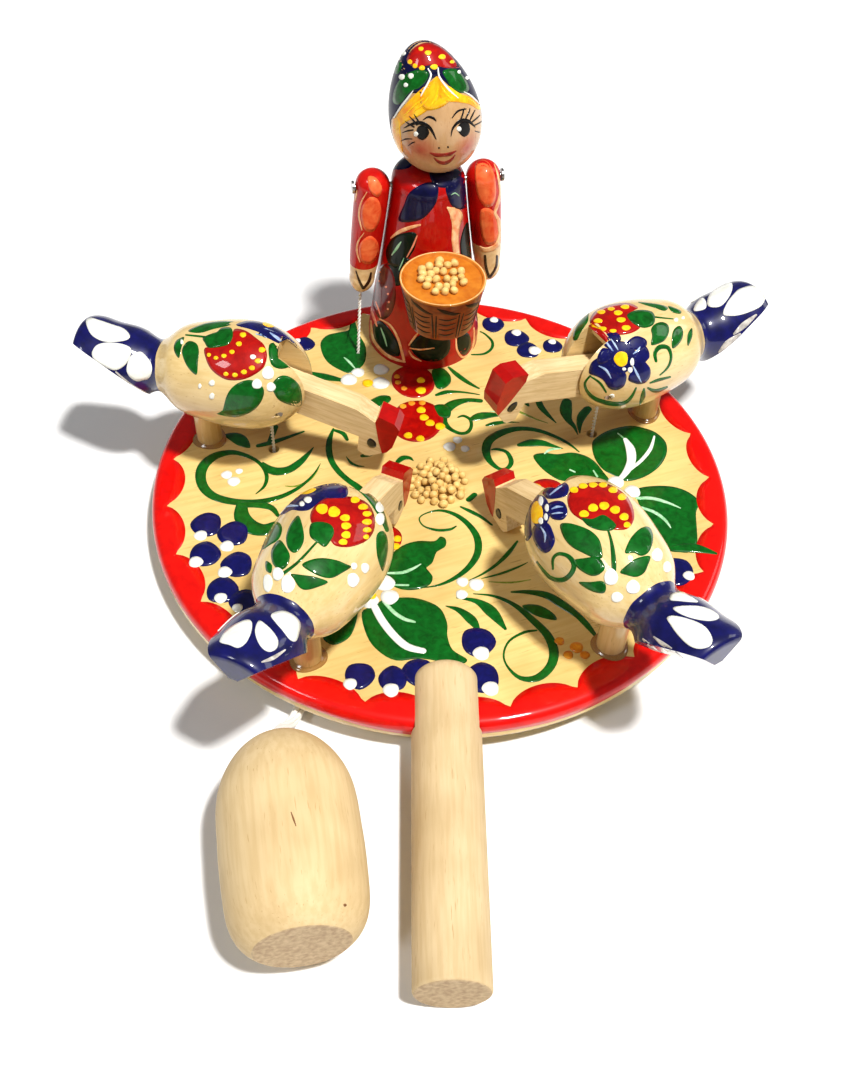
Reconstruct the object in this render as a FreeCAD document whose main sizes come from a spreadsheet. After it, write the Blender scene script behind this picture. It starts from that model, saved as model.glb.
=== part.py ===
import FreeCAD
import Part
import Sketcher
import math
import os

# Wooden pecking-hens toy: a round board on a handle, four hens whose necks are
# worked by strings from a swinging weight, and a turned figure with a basket.
# Millimetres, Z up, origin at the centre of the board's underside, the handle
# runs along -Y. The board lies level.

doc = FreeCAD.newDocument("pecking_hens")
sheet = doc.addObject("Spreadsheet::Sheet", "sizes")

SIZES = {
    # board and handle
    "board_radius": 77.5,
    "board_thickness": 7.0,
    "board_edge_round": 2.4,
    "handle_radius": 8.2,
    "handle_overlap": 17.6,
    "handle_reach": 59.5,
    "handle_tip_round": 4.5,
    "handle_end_round": 0.8,
    "glue_gap": 0.05,
    "soft_gap": 0.3,
    # hen: turned egg with a waist and a flared tail
    "egg_tilt": 3.4,
    "sway_height": 18.0,
    "waist_back": 10.6,
    "waist_height": 24.7,
    "waist_radius": 6.9,
    "egg_radius": 14.1,
    "egg_back": 24.1,
    "egg_front": 16.8,
    "tail_length": 20.4,
    "tail_bead_radius": 8.9,
    "tail_bead_back": 5.0,
    "tail_end_radius": 11.3,
    "tail_swell": 0.3,
    "keel_start": 6.5,
    "keel_rise": 37.5,
    "keel_side_rise": 42.0,
    "keel_flat": 1.2,
    # leg
    "leg_radius": 3.5,
    "leg_in_board": 5.0,
    "leg_in_egg": 6.0,
    # neck lever, its slot and its pin
    "neck_thickness": 6.0,
    "slot_side_gap": 0.7,
    "slot_back": 12.5,
    "slot_roof": 34.2,
    "slot_mouth": 24.8,
    "slot_corner": 4.0,
    "slot_lean": 2.5,
    "pivot_forward": 24.5,
    "pivot_height": 23.6,
    "pin_radius": 0.9,
    "running_gap": 0.05,
    "neck_top": 4.3,
    "neck_bottom": 4.7,
    "neck_length": 30.3,
    "neck_tail": 8.5,
    "beak_drop": 10.7,
    "comb_rise": 4.6,
    # strings
    "string_radius": 0.5,
    "string_hole_radius": 1.5,
    "string_forward": 18.3,
    "arm_string_x": -24.2,
    "arm_string_y": 49.0,
    "cord_radius": 1.5,
    "cord_level": 2.4,
    "knot_x": -31.6,
    "knot_y": -54.2,
    # figure
    "figure_reach": 60.9,
    "figure_bearing": 94.2,
    "figure_turn": 6.0,
    "gown_foot_radius": 16.5,
    "gown_band": 3.5,
    "gown_shoulder_radius": 10.0,
    "shoulder_height": 53.0,
    "gown_top": 58.0,
    "gown_neck_radius": 6.0,
    "head_half_height": 17.6,
    "head_radius": 11.6,
    "head_taper": 0.23,
    "head_lean": 13.0,
    "head_aside": 0.6,
    "head_seat": 0.8,
    "neck_peg_radius": 2.5,
    "neck_peg_half": 6.0,
    # arms
    "arm_pivot_height": 53.0,
    "arm_pivot_out": 15.2,
    "arm_slant": 6.2,
    "arm_shoulder_radius": 4.7,
    "arm_wrist_radius": 4.1,
    "arm_top": 4.6,
    "sleeve_length": 24.3,
    "hand_length": 10.8,
    "hand_radius": 3.6,
    "nail_radius": 0.7,
    "nail_head_radius": 1.7,
    "nail_head_height": 0.6,
    "nail_in_gown": 5.0,
    # basket and grain
    "basket_top_radius": 11.65,
    "basket_foot_radius": 8.9,
    "basket_foot_height": 24.5,
    "basket_height": 14.0,
    "basket_sink": 0.1,
    "basket_rim": 0.9,
    "basket_hollow": 0.4,
    "grain_radius": 1.15,
    "grain_gap": 0.06,
    "basket_grain_side": 8.4,
    "basket_grain_depth": 6.4,
    "pile_side": 7.2,
    "pile_depth": 9.6,
    "pile_top_share": 0.5,
    "pile_x": -1.0,
    "pile_y": -1.6,
    # weight
    "weight_radius": 15.3,
    "weight_length": 48.6,
    "weight_dome": 20.0,
    "weight_heel": 11.8,
    "weight_flat_radius": 9.8,
    "weight_top_x": -37.9,
    "weight_top_y": -82.3,
    "weight_bearing": -80.5,
}

for row, (name, value) in enumerate(SIZES.items(), start=1):
    sheet.set("A%d" % row, name)
    sheet.set("B%d" % row, str(value))
    sheet.setAlias("B%d" % row, name)
doc.recompute()


def size(name):
    return float(sheet.get(name))


# Where each hen stands, how it is turned and tipped on its leg, and how far its neck is raised.
HENS = [
    {"name": "back_left", "bearing": 167.0, "reach": 65.6, "turn": 0.5, "tip": 1.0, "raise": -17.0},
    {"name": "front_left", "bearing": 240.5, "reach": 67.0, "turn": 5.5, "tip": -6.5, "raise": -11.5},
    {"name": "front_right", "bearing": 306.5, "reach": 67.4, "turn": -5.5, "tip": -5.0, "raise": -20.5},
    {"name": "back_right", "bearing": 25.0, "reach": 64.8, "turn": 4.5, "tip": 3.0, "raise": 14.0},
]

BOARD_TOP = size("board_thickness")
FLOOR = size("board_thickness") / 2 - size("handle_radius")
Z_AXIS = FreeCAD.Vector(0, 0, 1)
Y_AXIS = FreeCAD.Vector(0, 1, 0)
X_AXIS = FreeCAD.Vector(1, 0, 0)
exported = []


def vec(x, y, z=0.0):
    return FreeCAD.Vector(x, y, z)


def keep(item, label):
    """Mark a document object as one sub-part under its own label."""
    item.Label = label
    exported.append(item)
    return item


def feature(label, shape, placement=None):
    """Put a computed shape in the document as one sub-part."""
    item = doc.addObject("Part::Feature", label)
    item.Shape = shape
    if placement is not None:
        item.Placement = placement
    return keep(item, label)


def plane_of(body, role):
    """Find a body's own origin plane by its role."""
    for item in body.Origin.OriginFeatures:
        if item.Role == role:
            return item
    raise ValueError(role)


def sketch_on(body, name, role, offset=0.0):
    """Start a sketch on one of the body's origin planes."""
    sketch = body.newObject("Sketcher::SketchObject", name)
    sketch.AttachmentSupport = (plane_of(body, role), [""])
    sketch.MapMode = "FlatFace"
    sketch.AttachmentOffset = FreeCAD.Placement(vec(0, 0, offset), FreeCAD.Rotation())
    return sketch


def add_circle(sketch, radius_name, x=0.0, y=0.0):
    """Draw a circle whose radius is a cell of the sheet."""
    index = sketch.addGeometry(Part.Circle(vec(x, y), Z_AXIS, size(radius_name)), False)
    number = sketch.addConstraint(Sketcher.Constraint("Radius", index, size(radius_name)))
    sketch.renameConstraint(number, "radius_%d" % index)
    sketch.setExpression("Constraints.radius_%d" % index, "sizes." + radius_name)
    sketch.addConstraint(Sketcher.Constraint("DistanceX", -1, 1, index, 3, x))
    sketch.addConstraint(Sketcher.Constraint("DistanceY", -1, 1, index, 3, y))


def add_outline(sketch, corners):
    """Draw a closed outline; each corner is a pair of expressions in the sheet's names."""
    def number_of(text):
        return float(FreeCAD.Units.Quantity(sheet.evalExpression(text)).Value)

    count = len(corners)
    spots = [vec(number_of(across), number_of(up)) for across, up in corners]
    for i in range(count):
        sketch.addGeometry(Part.LineSegment(spots[i], spots[(i + 1) % count]), False)
    for i in range(count):
        sketch.addConstraint(Sketcher.Constraint("Coincident", i, 2, (i + 1) % count, 1))
    for i, (across, up) in enumerate(corners):
        for kind, text, value in (("DistanceX", across, spots[i].x), ("DistanceY", up, spots[i].y)):
            number = sketch.addConstraint(Sketcher.Constraint(kind, -1, 1, i, 1, value))
            label = "%s_%d" % (kind, i)
            sketch.renameConstraint(number, label)
            sketch.setExpression("Constraints." + label, text)


def spin(edges):
    """Turn a closed outline in the XZ plane once round Z."""
    solid = Part.Face(Part.Wire(edges)).revolve(vec(0, 0, 0), Z_AXIS, 360)
    return solid if solid.Volume > 0 else solid.reversed()


def turned(points, curves=None):
    """Turn an outline of (radius, height) points about Z; curves maps a span to its middle point."""
    curves = curves or {}
    edges = []
    count = len(points)
    for i in range(count):
        a = vec(points[i][0], 0, points[i][1])
        b = vec(points[(i + 1) % count][0], 0, points[(i + 1) % count][1])
        if i in curves:
            middle = vec(curves[i][0], 0, curves[i][1])
            edges.append(Part.Arc(a, middle, b).toShape())
        else:
            edges.append(Part.LineSegment(a, b).toShape())
    return spin(edges)


def oval_points(centre, half_length, radius, start, end, steps):
    """Points (radius, height) on an oval between two heights, ends included."""
    points = []
    for i in range(steps + 1):
        height = start + (end - start) * (1 - math.cos(math.pi * i / steps)) / 2
        share = max(0.0, 1 - ((height - centre) / half_length) ** 2)
        points.append((radius * math.sqrt(share), height))
    return points


def turned_curve(profile, first, last):
    """Turn a smooth curve through (radius, height) points, closed along the axis."""
    curve = Part.BSplineCurve()
    curve.interpolate([vec(r, 0, z) for r, z in profile])
    corners = [vec(profile[-1][0], 0, profile[-1][1])]
    if profile[-1][0] > 0:
        corners.append(vec(0, 0, last))
    corners.append(vec(0, 0, first))
    if profile[0][0] > 0:
        corners.append(vec(profile[0][0], 0, profile[0][1]))
    edges = [curve.toShape()]
    for a, b in zip(corners, corners[1:]):
        edges.append(Part.LineSegment(a, b).toShape())
    return spin(edges)


def tube(points, radius, radii_label):
    """A round cord along straight runs joined by arcs as large as the runs allow."""
    spots = [vec(*p) for p in points]
    edges = []
    start = spots[0]
    radii = []
    for i in range(1, len(spots) - 1):
        back = spots[i - 1] - spots[i]
        ahead = spots[i + 1] - spots[i]
        turn = math.pi - back.getAngle(ahead)
        reach = 0.45 * min(back.Length, ahead.Length)
        bend = reach / math.tan(turn / 2)
        radii.append(round(bend / (2 * radius), 1))
        entry = spots[i] + back.normalize() * reach
        leave = spots[i] + ahead.normalize() * reach
        inward = (back + ahead).normalize()
        centre = spots[i] + inward * (bend / math.cos(turn / 2))
        middle = centre - inward * bend
        edges.append(Part.LineSegment(start, entry).toShape())
        edges.append(Part.Arc(entry, middle, leave).toShape())
        start = leave
    edges.append(Part.LineSegment(start, spots[-1]).toShape())
    path = Part.Wire(edges)
    first = spots[1] - spots[0]
    ring = Part.Wire([Part.Circle(spots[0], first, radius).toShape()])
    solid = path.makePipeShell([ring], True, False)
    expected = math.pi * radius ** 2 * path.Length
    print(radii_label, "bends in diameters", radii, "length", round(path.Length, 1),
          "volume share", round(solid.Volume / expected, 4))
    return solid


def leg_place(hen):
    """The leg's frame: origin at the hen's foot on the board's top, X pointing forward."""
    bearing = math.radians(hen["bearing"])
    foot = vec(hen["reach"] * math.cos(bearing), hen["reach"] * math.sin(bearing), BOARD_TOP)
    return FreeCAD.Placement(foot, FreeCAD.Rotation(Z_AXIS, hen["bearing"] + 180 + hen["turn"]))


def sway(hen):
    """How the egg is tipped on its upright leg, nose up."""
    return FreeCAD.Placement(vec(0, 0, 0), FreeCAD.Rotation(Y_AXIS, -hen["tip"]), vec(0, 0, size("sway_height")))


def hen_place(hen):
    """The egg's frame: the leg's frame, tipped about a point inside the belly."""
    return leg_place(hen).multiply(sway(hen))


def string_spot(hen):
    """Where the hen's string drops through the board."""
    return leg_place(hen).multVec(vec(size("string_forward"), 0, 0))


def figure_place():
    """The figure's own frame: origin at its foot on the board's top, X pointing forward."""
    bearing = math.radians(size("figure_bearing"))
    reach = size("figure_reach")
    foot = vec(reach * math.cos(bearing), reach * math.sin(bearing), BOARD_TOP)
    turn = size("figure_bearing") + 180 + size("figure_turn")
    return FreeCAD.Placement(foot, FreeCAD.Rotation(Z_AXIS, turn))


# Board: a flat turned disc with rounded edges, sockets for the legs and holes for the strings.
board = doc.addObject("PartDesign::Body", "board")
outline = sketch_on(board, "board_outline", "XY_Plane")
add_circle(outline, "board_radius")
pad = board.newObject("PartDesign::Pad", "board_pad")
pad.Profile = outline
pad.setExpression("Length", "sizes.board_thickness")
doc.recompute()
edges = ["Edge%d" % (i + 1) for i, edge in enumerate(pad.Shape.Edges) if edge.Curve.TypeId == "Part::GeomCircle"]
rounding = board.newObject("PartDesign::Fillet", "board_edges")
rounding.Base = (pad, edges)
rounding.setExpression("Radius", "sizes.board_edge_round")
doc.recompute()
holes = sketch_on(board, "string_holes", "XY_Plane")
for hen in HENS:
    spot = string_spot(hen)
    add_circle(holes, "string_hole_radius", spot.x, spot.y)
add_circle(holes, "string_hole_radius", size("arm_string_x"), size("arm_string_y"))
drilled = board.newObject("PartDesign::Pocket", "string_drilling")
drilled.Profile = holes
drilled.Type = "ThroughAll"
drilled.Reversed = True
doc.recompute()
sheet.set("D1", "=leg_radius + glue_gap")
sheet.setAlias("D1", "leg_socket_radius")
doc.recompute()
sockets = sketch_on(board, "leg_sockets", "XY_Plane", BOARD_TOP)
for hen in HENS:
    foot = leg_place(hen).Base
    add_circle(sockets, "leg_socket_radius", foot.x, foot.y)
socketing = board.newObject("PartDesign::Pocket", "leg_socketing")
socketing.Profile = sockets
socketing.setExpression("Length", "sizes.leg_in_board + sizes.glue_gap")
doc.recompute()
board.Tip = socketing
keep(board, "board")

# Handle: a turned rod, slotted at one end to grip the board's rim.
handle = doc.addObject("PartDesign::Body", "handle")
rod_sketch = sketch_on(handle, "handle_round", "XZ_Plane")
add_circle(rod_sketch, "handle_radius")
rod = handle.newObject("PartDesign::Pad", "handle_rod")
rod.Profile = rod_sketch
rod.setExpression("Length", "sizes.handle_reach + sizes.handle_overlap")
doc.recompute()


def rod_end(nearest):
    """The name of the rod's end circle nearest to a distance along Y."""
    def gap(pair):
        return abs(pair[1].CenterOfMass.y - nearest)

    rings = [(i, edge) for i, edge in enumerate(handle.Shape.Edges)
             if edge.Curve.TypeId == "Part::GeomCircle"]
    return "Edge%d" % (min(rings, key=gap)[0] + 1)


rod_box = handle.Shape.BoundBox
toward_board = rod_box.YMax
away = rod_box.YMin
tip_round = handle.newObject("PartDesign::Fillet", "handle_tip")
tip_round.Base = (rod, [rod_end(toward_board)])
tip_round.setExpression("Radius", "sizes.handle_tip_round")
doc.recompute()
end_round = handle.newObject("PartDesign::Fillet", "handle_end")
end_round.Base = (tip_round, [rod_end(away)])
end_round.setExpression("Radius", "sizes.handle_end_round")
doc.recompute()
slot_sketch = sketch_on(handle, "handle_slot", "YZ_Plane")
add_outline(slot_sketch, [
    ("-sizes.handle_overlap", "-sizes.board_thickness / 2"),
    ("sizes.handle_overlap", "-sizes.board_thickness / 2"),
    ("sizes.handle_overlap", "sizes.board_thickness / 2"),
    ("-sizes.handle_overlap", "sizes.board_thickness / 2"),
])
rod_slot = handle.newObject("PartDesign::Pocket", "handle_slotting")
rod_slot.Profile = slot_sketch
rod_slot.Type = "ThroughAll"
rod_slot.Midplane = True
doc.recompute()
handle.Tip = rod_slot
handle.setExpression("Placement.Base.y", "-(sizes.board_radius - sizes.handle_overlap)")
handle.setExpression("Placement.Base.z", "sizes.board_thickness / 2")
keep(handle, "handle")


def hen_turning():
    """The turned blank of a hen, along X, with the waist at its frame's waist point."""
    back = size("egg_back")
    front = size("egg_front")
    radius = size("egg_radius")
    waist = size("waist_radius")
    half_back = back / math.sqrt(1 - (waist / radius) ** 2)
    tail = size("tail_length")
    bead = size("tail_bead_back")
    end = size("tail_end_radius")
    profile = [(end - 1.6, -tail), (end - 0.45, 0.45 - tail), (end, 1.7 - tail)]
    half_flare = (size("tail_end_radius") + size("tail_bead_radius")) / 2
    profile.append((half_flare + size("tail_swell"), -(tail + bead) / 2))
    profile.append((size("tail_bead_radius"), -bead))
    profile.append((waist, 0.0))
    for share in (0.25, 0.5, 0.75, 1.0):
        along = back * share
        profile.append((radius * math.sqrt(1 - ((along - back) / half_back) ** 2), along))
    for share in (0.4, 0.7, 0.88, 0.97):
        profile.append((radius * math.sqrt(1 - share ** 2), back + front * share))
    profile.append((0.0, back + front))
    blank = turned_curve(profile, -tail, back + front)
    lay = FreeCAD.Rotation(Y_AXIS, 90 - size("egg_tilt"))
    blank.Placement = FreeCAD.Placement(vec(-size("waist_back"), 0, size("waist_height")), lay)
    return blank


def keel_tools():
    """Blocks that plane the tail's underside: one flat along the keel and one each side."""
    start = vec(-size("waist_back") - size("keel_start"), 0, size("waist_height") - size("tail_bead_radius"))
    block = 60.0
    tools = []
    for side, lean in ((0, 0.0), (1, size("keel_side_rise")), (-1, -size("keel_side_rise"))):
        tool = Part.makeBox(block, block, block, vec(-block / 2, -block / 2, -block))
        rise = FreeCAD.Rotation(Y_AXIS, size("keel_rise"))
        roll = FreeCAD.Rotation(X_AXIS, lean)
        lift = size("keel_flat") if side == 0 else 0.0
        tool.Placement = FreeCAD.Placement(start + vec(0, 0, lift), rise.multiply(roll))
        tools.append(tool.common(Part.makeBox(block, block, block, vec(-block + start.x + 6, -block / 2, 0))))
    return tools


def belly_height(along):
    """Height of the egg's underside above the board's top, under the axis."""
    tilt = math.tan(math.radians(size("egg_tilt")))
    centre_x = -size("waist_back") + size("egg_back")
    half_back = size("egg_back") / math.sqrt(1 - (size("waist_radius") / size("egg_radius")) ** 2)
    half = half_back if along < centre_x else size("egg_front")
    axis = size("waist_height") + tilt * (along + size("waist_back"))
    return axis - size("egg_radius") * math.sqrt(1 - ((along - centre_x) / half) ** 2)


# Hen bodies: each egg is slotted for its neck, drilled for its leg and its pin, and its tail is planed.
slot_half = size("neck_thickness") / 2 + size("slot_side_gap")
past_nose = size("egg_back") + size("egg_front")
past_top = size("waist_height") + 2 * size("egg_radius")
slot_corners = [
    (size("slot_back"), 0.0),
    (size("slot_back"), size("slot_roof") - size("slot_corner")),
    (size("slot_back") + size("slot_corner"), size("slot_roof")),
    (size("slot_mouth") - size("slot_lean"), size("slot_roof")),
    (size("slot_mouth"), past_top),
    (past_nose, past_top),
    (past_nose, 0.0),
]
slot_wire = Part.makePolygon([vec(x, -slot_half, z) for x, z in slot_corners + slot_corners[:1]])
slot_tool = Part.Face(slot_wire).extrude(vec(0, 2 * slot_half, 0))
leg_top = belly_height(0.0) + size("leg_in_egg")
for hen in HENS:
    place = hen_place(hen)
    blank = doc.addObject("Part::Feature", hen["name"] + "_blank")
    blank.Shape = hen_turning()
    slot = doc.addObject("Part::Feature", hen["name"] + "_slot_tool")
    slot.Shape = slot_tool
    leg_hole = doc.addObject("Part::Cylinder", hen["name"] + "_leg_hole")
    leg_hole.setExpression("Radius", "sizes.leg_socket_radius")
    leg_hole.Height = leg_top + size("glue_gap")
    leg_hole.Placement = sway(hen).inverse()
    pin_hole = doc.addObject("Part::Cylinder", hen["name"] + "_pin_hole")
    pin_hole.setExpression("Radius", "sizes.pin_radius")
    pin_hole.Height = 3 * size("egg_radius")
    pin_hole.Placement = FreeCAD.Placement(
        vec(size("pivot_forward"), -1.5 * size("egg_radius"), size("pivot_height")),
        FreeCAD.Rotation(X_AXIS, -90))
    tools = [slot, leg_hole, pin_hole]
    for i, shape in enumerate(keel_tools()):
        keel = doc.addObject("Part::Feature", "%s_keel_tool_%d" % (hen["name"], i))
        keel.Shape = shape
        tools.append(keel)
    whole = blank
    for i, tool in enumerate(tools):
        cut = doc.addObject("Part::Cut", "%s_hen_cut_%d" % (hen["name"], i))
        cut.Base = whole
        cut.Tool = tool
        whole = cut
    whole.Placement = place
    keep(whole, hen["name"] + "_hen_body")

# Legs: one round peg under each hen, glued into the board and the belly.
for hen in HENS:
    leg = doc.addObject("Part::Cylinder", hen["name"] + "_leg")
    leg.setExpression("Radius", "sizes.leg_radius")
    leg.Height = size("leg_in_board") + leg_top
    leg.Placement = leg_place(hen).multiply(
        FreeCAD.Placement(vec(0, 0, -size("leg_in_board")), FreeCAD.Rotation()))
    keep(leg, hen["name"] + "_leg")

# Necks: sawn levers with a comb and a beak, on a cross pin between the egg's cheeks.
NECK_OUTLINE = [
    ("-sizes.neck_tail", "-sizes.neck_bottom + 1.6"),
    ("-sizes.neck_tail + 1.6", "-sizes.neck_bottom"),
    ("sizes.neck_length - 9.2", "-sizes.neck_bottom"),
    ("sizes.neck_length - 8.2", "-sizes.beak_drop + 0.9"),
    ("sizes.neck_length - 5.9", "-sizes.beak_drop"),
    ("sizes.neck_length - 4.6", "-sizes.beak_drop + 0.5"),
    ("sizes.neck_length - 0.9", "-sizes.neck_bottom - 1.9"),
    ("sizes.neck_length", "-sizes.neck_bottom + 0.6"),
    ("sizes.neck_length", "sizes.comb_rise - 2.0"),
    ("sizes.neck_length - 1.8", "sizes.comb_rise - 0.5"),
    ("sizes.neck_length - 6.2", "sizes.comb_rise"),
    ("sizes.neck_length - 6.6", "sizes.neck_top - 2.0"),
    ("sizes.neck_length - 12.2", "sizes.neck_top"),
    ("-sizes.neck_tail + 1.6", "sizes.neck_top"),
    ("-sizes.neck_tail", "sizes.neck_top - 1.6"),
]
sheet.set("D2", "=pin_radius + running_gap")
sheet.setAlias("D2", "neck_bore_radius")
doc.recompute()
for hen in HENS:
    neck = doc.addObject("PartDesign::Body", hen["name"] + "_neck")
    profile = sketch_on(neck, hen["name"] + "_neck_profile", "XZ_Plane")
    add_outline(profile, NECK_OUTLINE)
    add_circle(profile, "neck_bore_radius")
    plank = neck.newObject("PartDesign::Pad", hen["name"] + "_neck_plank")
    plank.Profile = profile
    plank.setExpression("Length", "sizes.neck_thickness")
    plank.Midplane = True
    doc.recompute()
    swing = FreeCAD.Placement(vec(size("pivot_forward"), 0, size("pivot_height")),
                              FreeCAD.Rotation(Y_AXIS, -hen["raise"]))
    neck.Placement = hen_place(hen).multiply(swing)
    keep(neck, hen["name"] + "_neck")

# Pins: each crosses both cheeks of an egg and carries the neck.
pivot_along = size("pivot_forward") + size("waist_back")
pin_drop = size("waist_height") + pivot_along * math.tan(math.radians(size("egg_tilt"))) - size("pivot_height")
pin_share = (pivot_along - size("egg_back")) / size("egg_front")
pin_half = math.sqrt(size("egg_radius") ** 2 * (1 - pin_share ** 2) - pin_drop ** 2) - size("soft_gap")
for hen in HENS:
    pin = doc.addObject("Part::Cylinder", hen["name"] + "_neck_pin")
    pin.setExpression("Radius", "sizes.pin_radius")
    pin.Height = 2 * pin_half
    pin.Placement = hen_place(hen).multiply(FreeCAD.Placement(
        vec(size("pivot_forward"), -pin_half, size("pivot_height")), FreeCAD.Rotation(X_AXIS, -90)))
    keep(pin, hen["name"] + "_neck_pin")


def lever_underside(hen):
    """Height above the board's top of the lever's underside over the string's hole."""
    angle = math.radians(hen["raise"] + hen["tip"])
    pivot = sway(hen).multVec(vec(size("pivot_forward"), 0, size("pivot_height")))
    behind = size("string_forward") - size("string_radius") - pivot.x
    along = (behind - size("neck_bottom") * math.sin(angle)) / math.cos(angle)
    return pivot.z + along * math.sin(angle) - size("neck_bottom") * math.cos(angle)


# Neck strings: each drops from the tail of a neck lever through the board.
for hen in HENS:
    near = lever_underside(hen)
    slope = abs(math.tan(math.radians(hen["raise"] + hen["tip"]))) * 2 * size("string_radius")
    spot = string_spot(hen)
    thread = doc.addObject("Part::Cylinder", hen["name"] + "_neck_string")
    thread.setExpression("Radius", "sizes.string_radius")
    thread.Height = BOARD_TOP + near - slope - size("soft_gap")
    thread.Placement = FreeCAD.Placement(vec(spot.x, spot.y, 0), FreeCAD.Rotation())
    keep(thread, hen["name"] + "_neck_string")

# Figure: a turned gown, glued to the board, with a separate head on a peg.
peg_low = size("gown_top") - size("neck_peg_half")
peg_bore = size("neck_peg_radius") + size("glue_gap")
gown_shape = turned([
    (0, 0),
    (size("gown_foot_radius"), 0),
    (size("gown_foot_radius"), size("gown_band")),
    (size("gown_shoulder_radius"), size("shoulder_height")),
    (size("gown_neck_radius"), size("gown_top")),
    (peg_bore, size("gown_top")),
    (peg_bore, peg_low - size("glue_gap")),
    (0, peg_low - size("glue_gap")),
], {3: (size("gown_shoulder_radius") - 1.1, size("gown_top") - 1.6)})
nail_y = size("gown_shoulder_radius") - size("nail_in_gown")
pivot_z = size("arm_pivot_height")
for side in (1, -1):
    hole = Part.makeCylinder(size("nail_radius"), 2 * size("nail_in_gown"),
                             vec(0, side * nail_y, pivot_z), vec(0, side, 0))
    gown_shape = gown_shape.cut(hole)
feature("figure_gown", gown_shape, figure_place())

half_head = size("head_half_height")
egg_line = [(r * (1 - size("head_taper") * z / half_head), z)
            for r, z in oval_points(0, half_head, size("head_radius"), -half_head, half_head, 12)]
head_shape = turned_curve(egg_line, -half_head, half_head)
head_base = size("gown_top") + size("glue_gap")
head_centre = vec(0, size("head_aside"), size("gown_top") + half_head - size("head_seat"))
lean = FreeCAD.Placement(head_centre, FreeCAD.Rotation(X_AXIS, size("head_lean")))
head_shape.Placement = lean
seat = Part.makeCylinder(3 * size("head_radius"), size("head_radius"), vec(0, 0, head_base - size("head_radius")))
peg_socket = Part.makeCylinder(peg_bore, 2 * size("neck_peg_half") + size("glue_gap"), vec(0, 0, peg_low))
head_shape = head_shape.cut(seat).cut(peg_socket)
feature("figure_head", head_shape, figure_place())

peg = doc.addObject("Part::Cylinder", "neck_peg")
peg.setExpression("Radius", "sizes.neck_peg_radius")
peg.setExpression("Height", "2 * sizes.neck_peg_half")
peg.Placement = figure_place().multiply(FreeCAD.Placement(vec(0, 0, peg_low), FreeCAD.Rotation()))
keep(peg, "neck_peg")

# Arms: turned and slanting outward to clear the gown, each on a nail.
fingertip = -size("sleeve_length") - size("hand_length")
knuckle = -size("sleeve_length") - size("hand_length") * 0.42
arm_shape_points = [
    (0.0, fingertip),
    (size("hand_radius"), knuckle),
    (size("arm_wrist_radius"), -size("sleeve_length")),
    (size("arm_shoulder_radius"), 0.0),
    (0.0, size("arm_top")),
]
arm_shape_bows = {
    0: (size("hand_radius") * 0.74, fingertip + size("hand_length") * 0.2),
    2: ((size("arm_wrist_radius") + size("arm_shoulder_radius")) / 2 + 0.15, -size("sleeve_length") / 2),
    3: (size("arm_shoulder_radius") * 0.75, size("arm_top") * 0.68),
}
for side, name in ((1, "left"), (-1, "right")):
    arm_shape = turned(arm_shape_points, arm_shape_bows)
    shoulder = vec(0, side * size("arm_pivot_out"), pivot_z)
    arm_shape.Placement = FreeCAD.Placement(shoulder, FreeCAD.Rotation(X_AXIS, side * size("arm_slant")))
    bore_length = 2 * size("arm_pivot_out")
    bore = Part.makeCylinder(size("nail_radius") + size("running_gap"), bore_length,
                             vec(0, 0, pivot_z), vec(0, side, 0))
    feature("figure_%s_arm" % name, arm_shape.cut(bore), figure_place())
    outside = size("arm_pivot_out") + size("arm_shoulder_radius") + size("soft_gap")
    shank = Part.makeCylinder(size("nail_radius"), outside - nail_y, vec(0, side * nail_y, pivot_z), vec(0, side, 0))
    cap = Part.makeCylinder(size("nail_head_radius"), size("nail_head_height"),
                            vec(0, side * outside, pivot_z), vec(0, side, 0))
    feature("figure_%s_arm_nail" % name, shank.fuse(cap).removeSplitter(), figure_place())

# Arm string: from the right hand down through the board.
slant = math.radians(size("arm_slant"))
reach_down = size("sleeve_length") + size("hand_length") + size("soft_gap")
hand_spot = figure_place().multVec(vec(
    0, -size("arm_pivot_out") - reach_down * math.sin(slant), pivot_z - reach_down * math.cos(slant)))
hole_spot = vec(size("arm_string_x"), size("arm_string_y"), BOARD_TOP)
entry = hole_spot + (hole_spot - hand_spot).normalize() * size("string_radius")
down = Part.makeCylinder(size("string_radius"), (hand_spot - entry).Length, entry, hand_spot - entry)
foot = Part.makeCylinder(size("string_radius"), entry.z + size("string_radius"), vec(entry.x, entry.y, 0))
feature("arm_string", down.fuse(foot).removeSplitter())

# Basket: a tapered cup with a shallow top, hollowed behind to sit against the gown.
basket_top = size("basket_foot_height") + size("basket_height")
cup_radius = size("basket_top_radius") - size("basket_rim")
cup_floor = basket_top - size("basket_hollow")
basket_shape = turned([
    (0, size("basket_foot_height")),
    (size("basket_foot_radius"), size("basket_foot_height")),
    (size("basket_top_radius"), basket_top),
    (cup_radius, basket_top),
    (cup_radius - 0.3, cup_floor),
    (0, cup_floor),
])


def gown_radius(height):
    """The gown's radius at a height above the board's top."""
    share = (height - size("gown_band")) / (size("shoulder_height") - size("gown_band"))
    return size("gown_foot_radius") + share * (size("gown_shoulder_radius") - size("gown_foot_radius"))


basket_reach = gown_radius(basket_top) + size("basket_top_radius") - size("basket_sink")
basket_shape.translate(vec(basket_reach, 0, 0))
low = size("basket_foot_height") - 1
high = basket_top + 1
gap = size("glue_gap")
wall = Part.makeCone(gown_radius(low) + gap, gown_radius(high) + gap, high - low, vec(0, 0, low))
feature("basket", basket_shape.cut(wall), figure_place())


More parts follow.
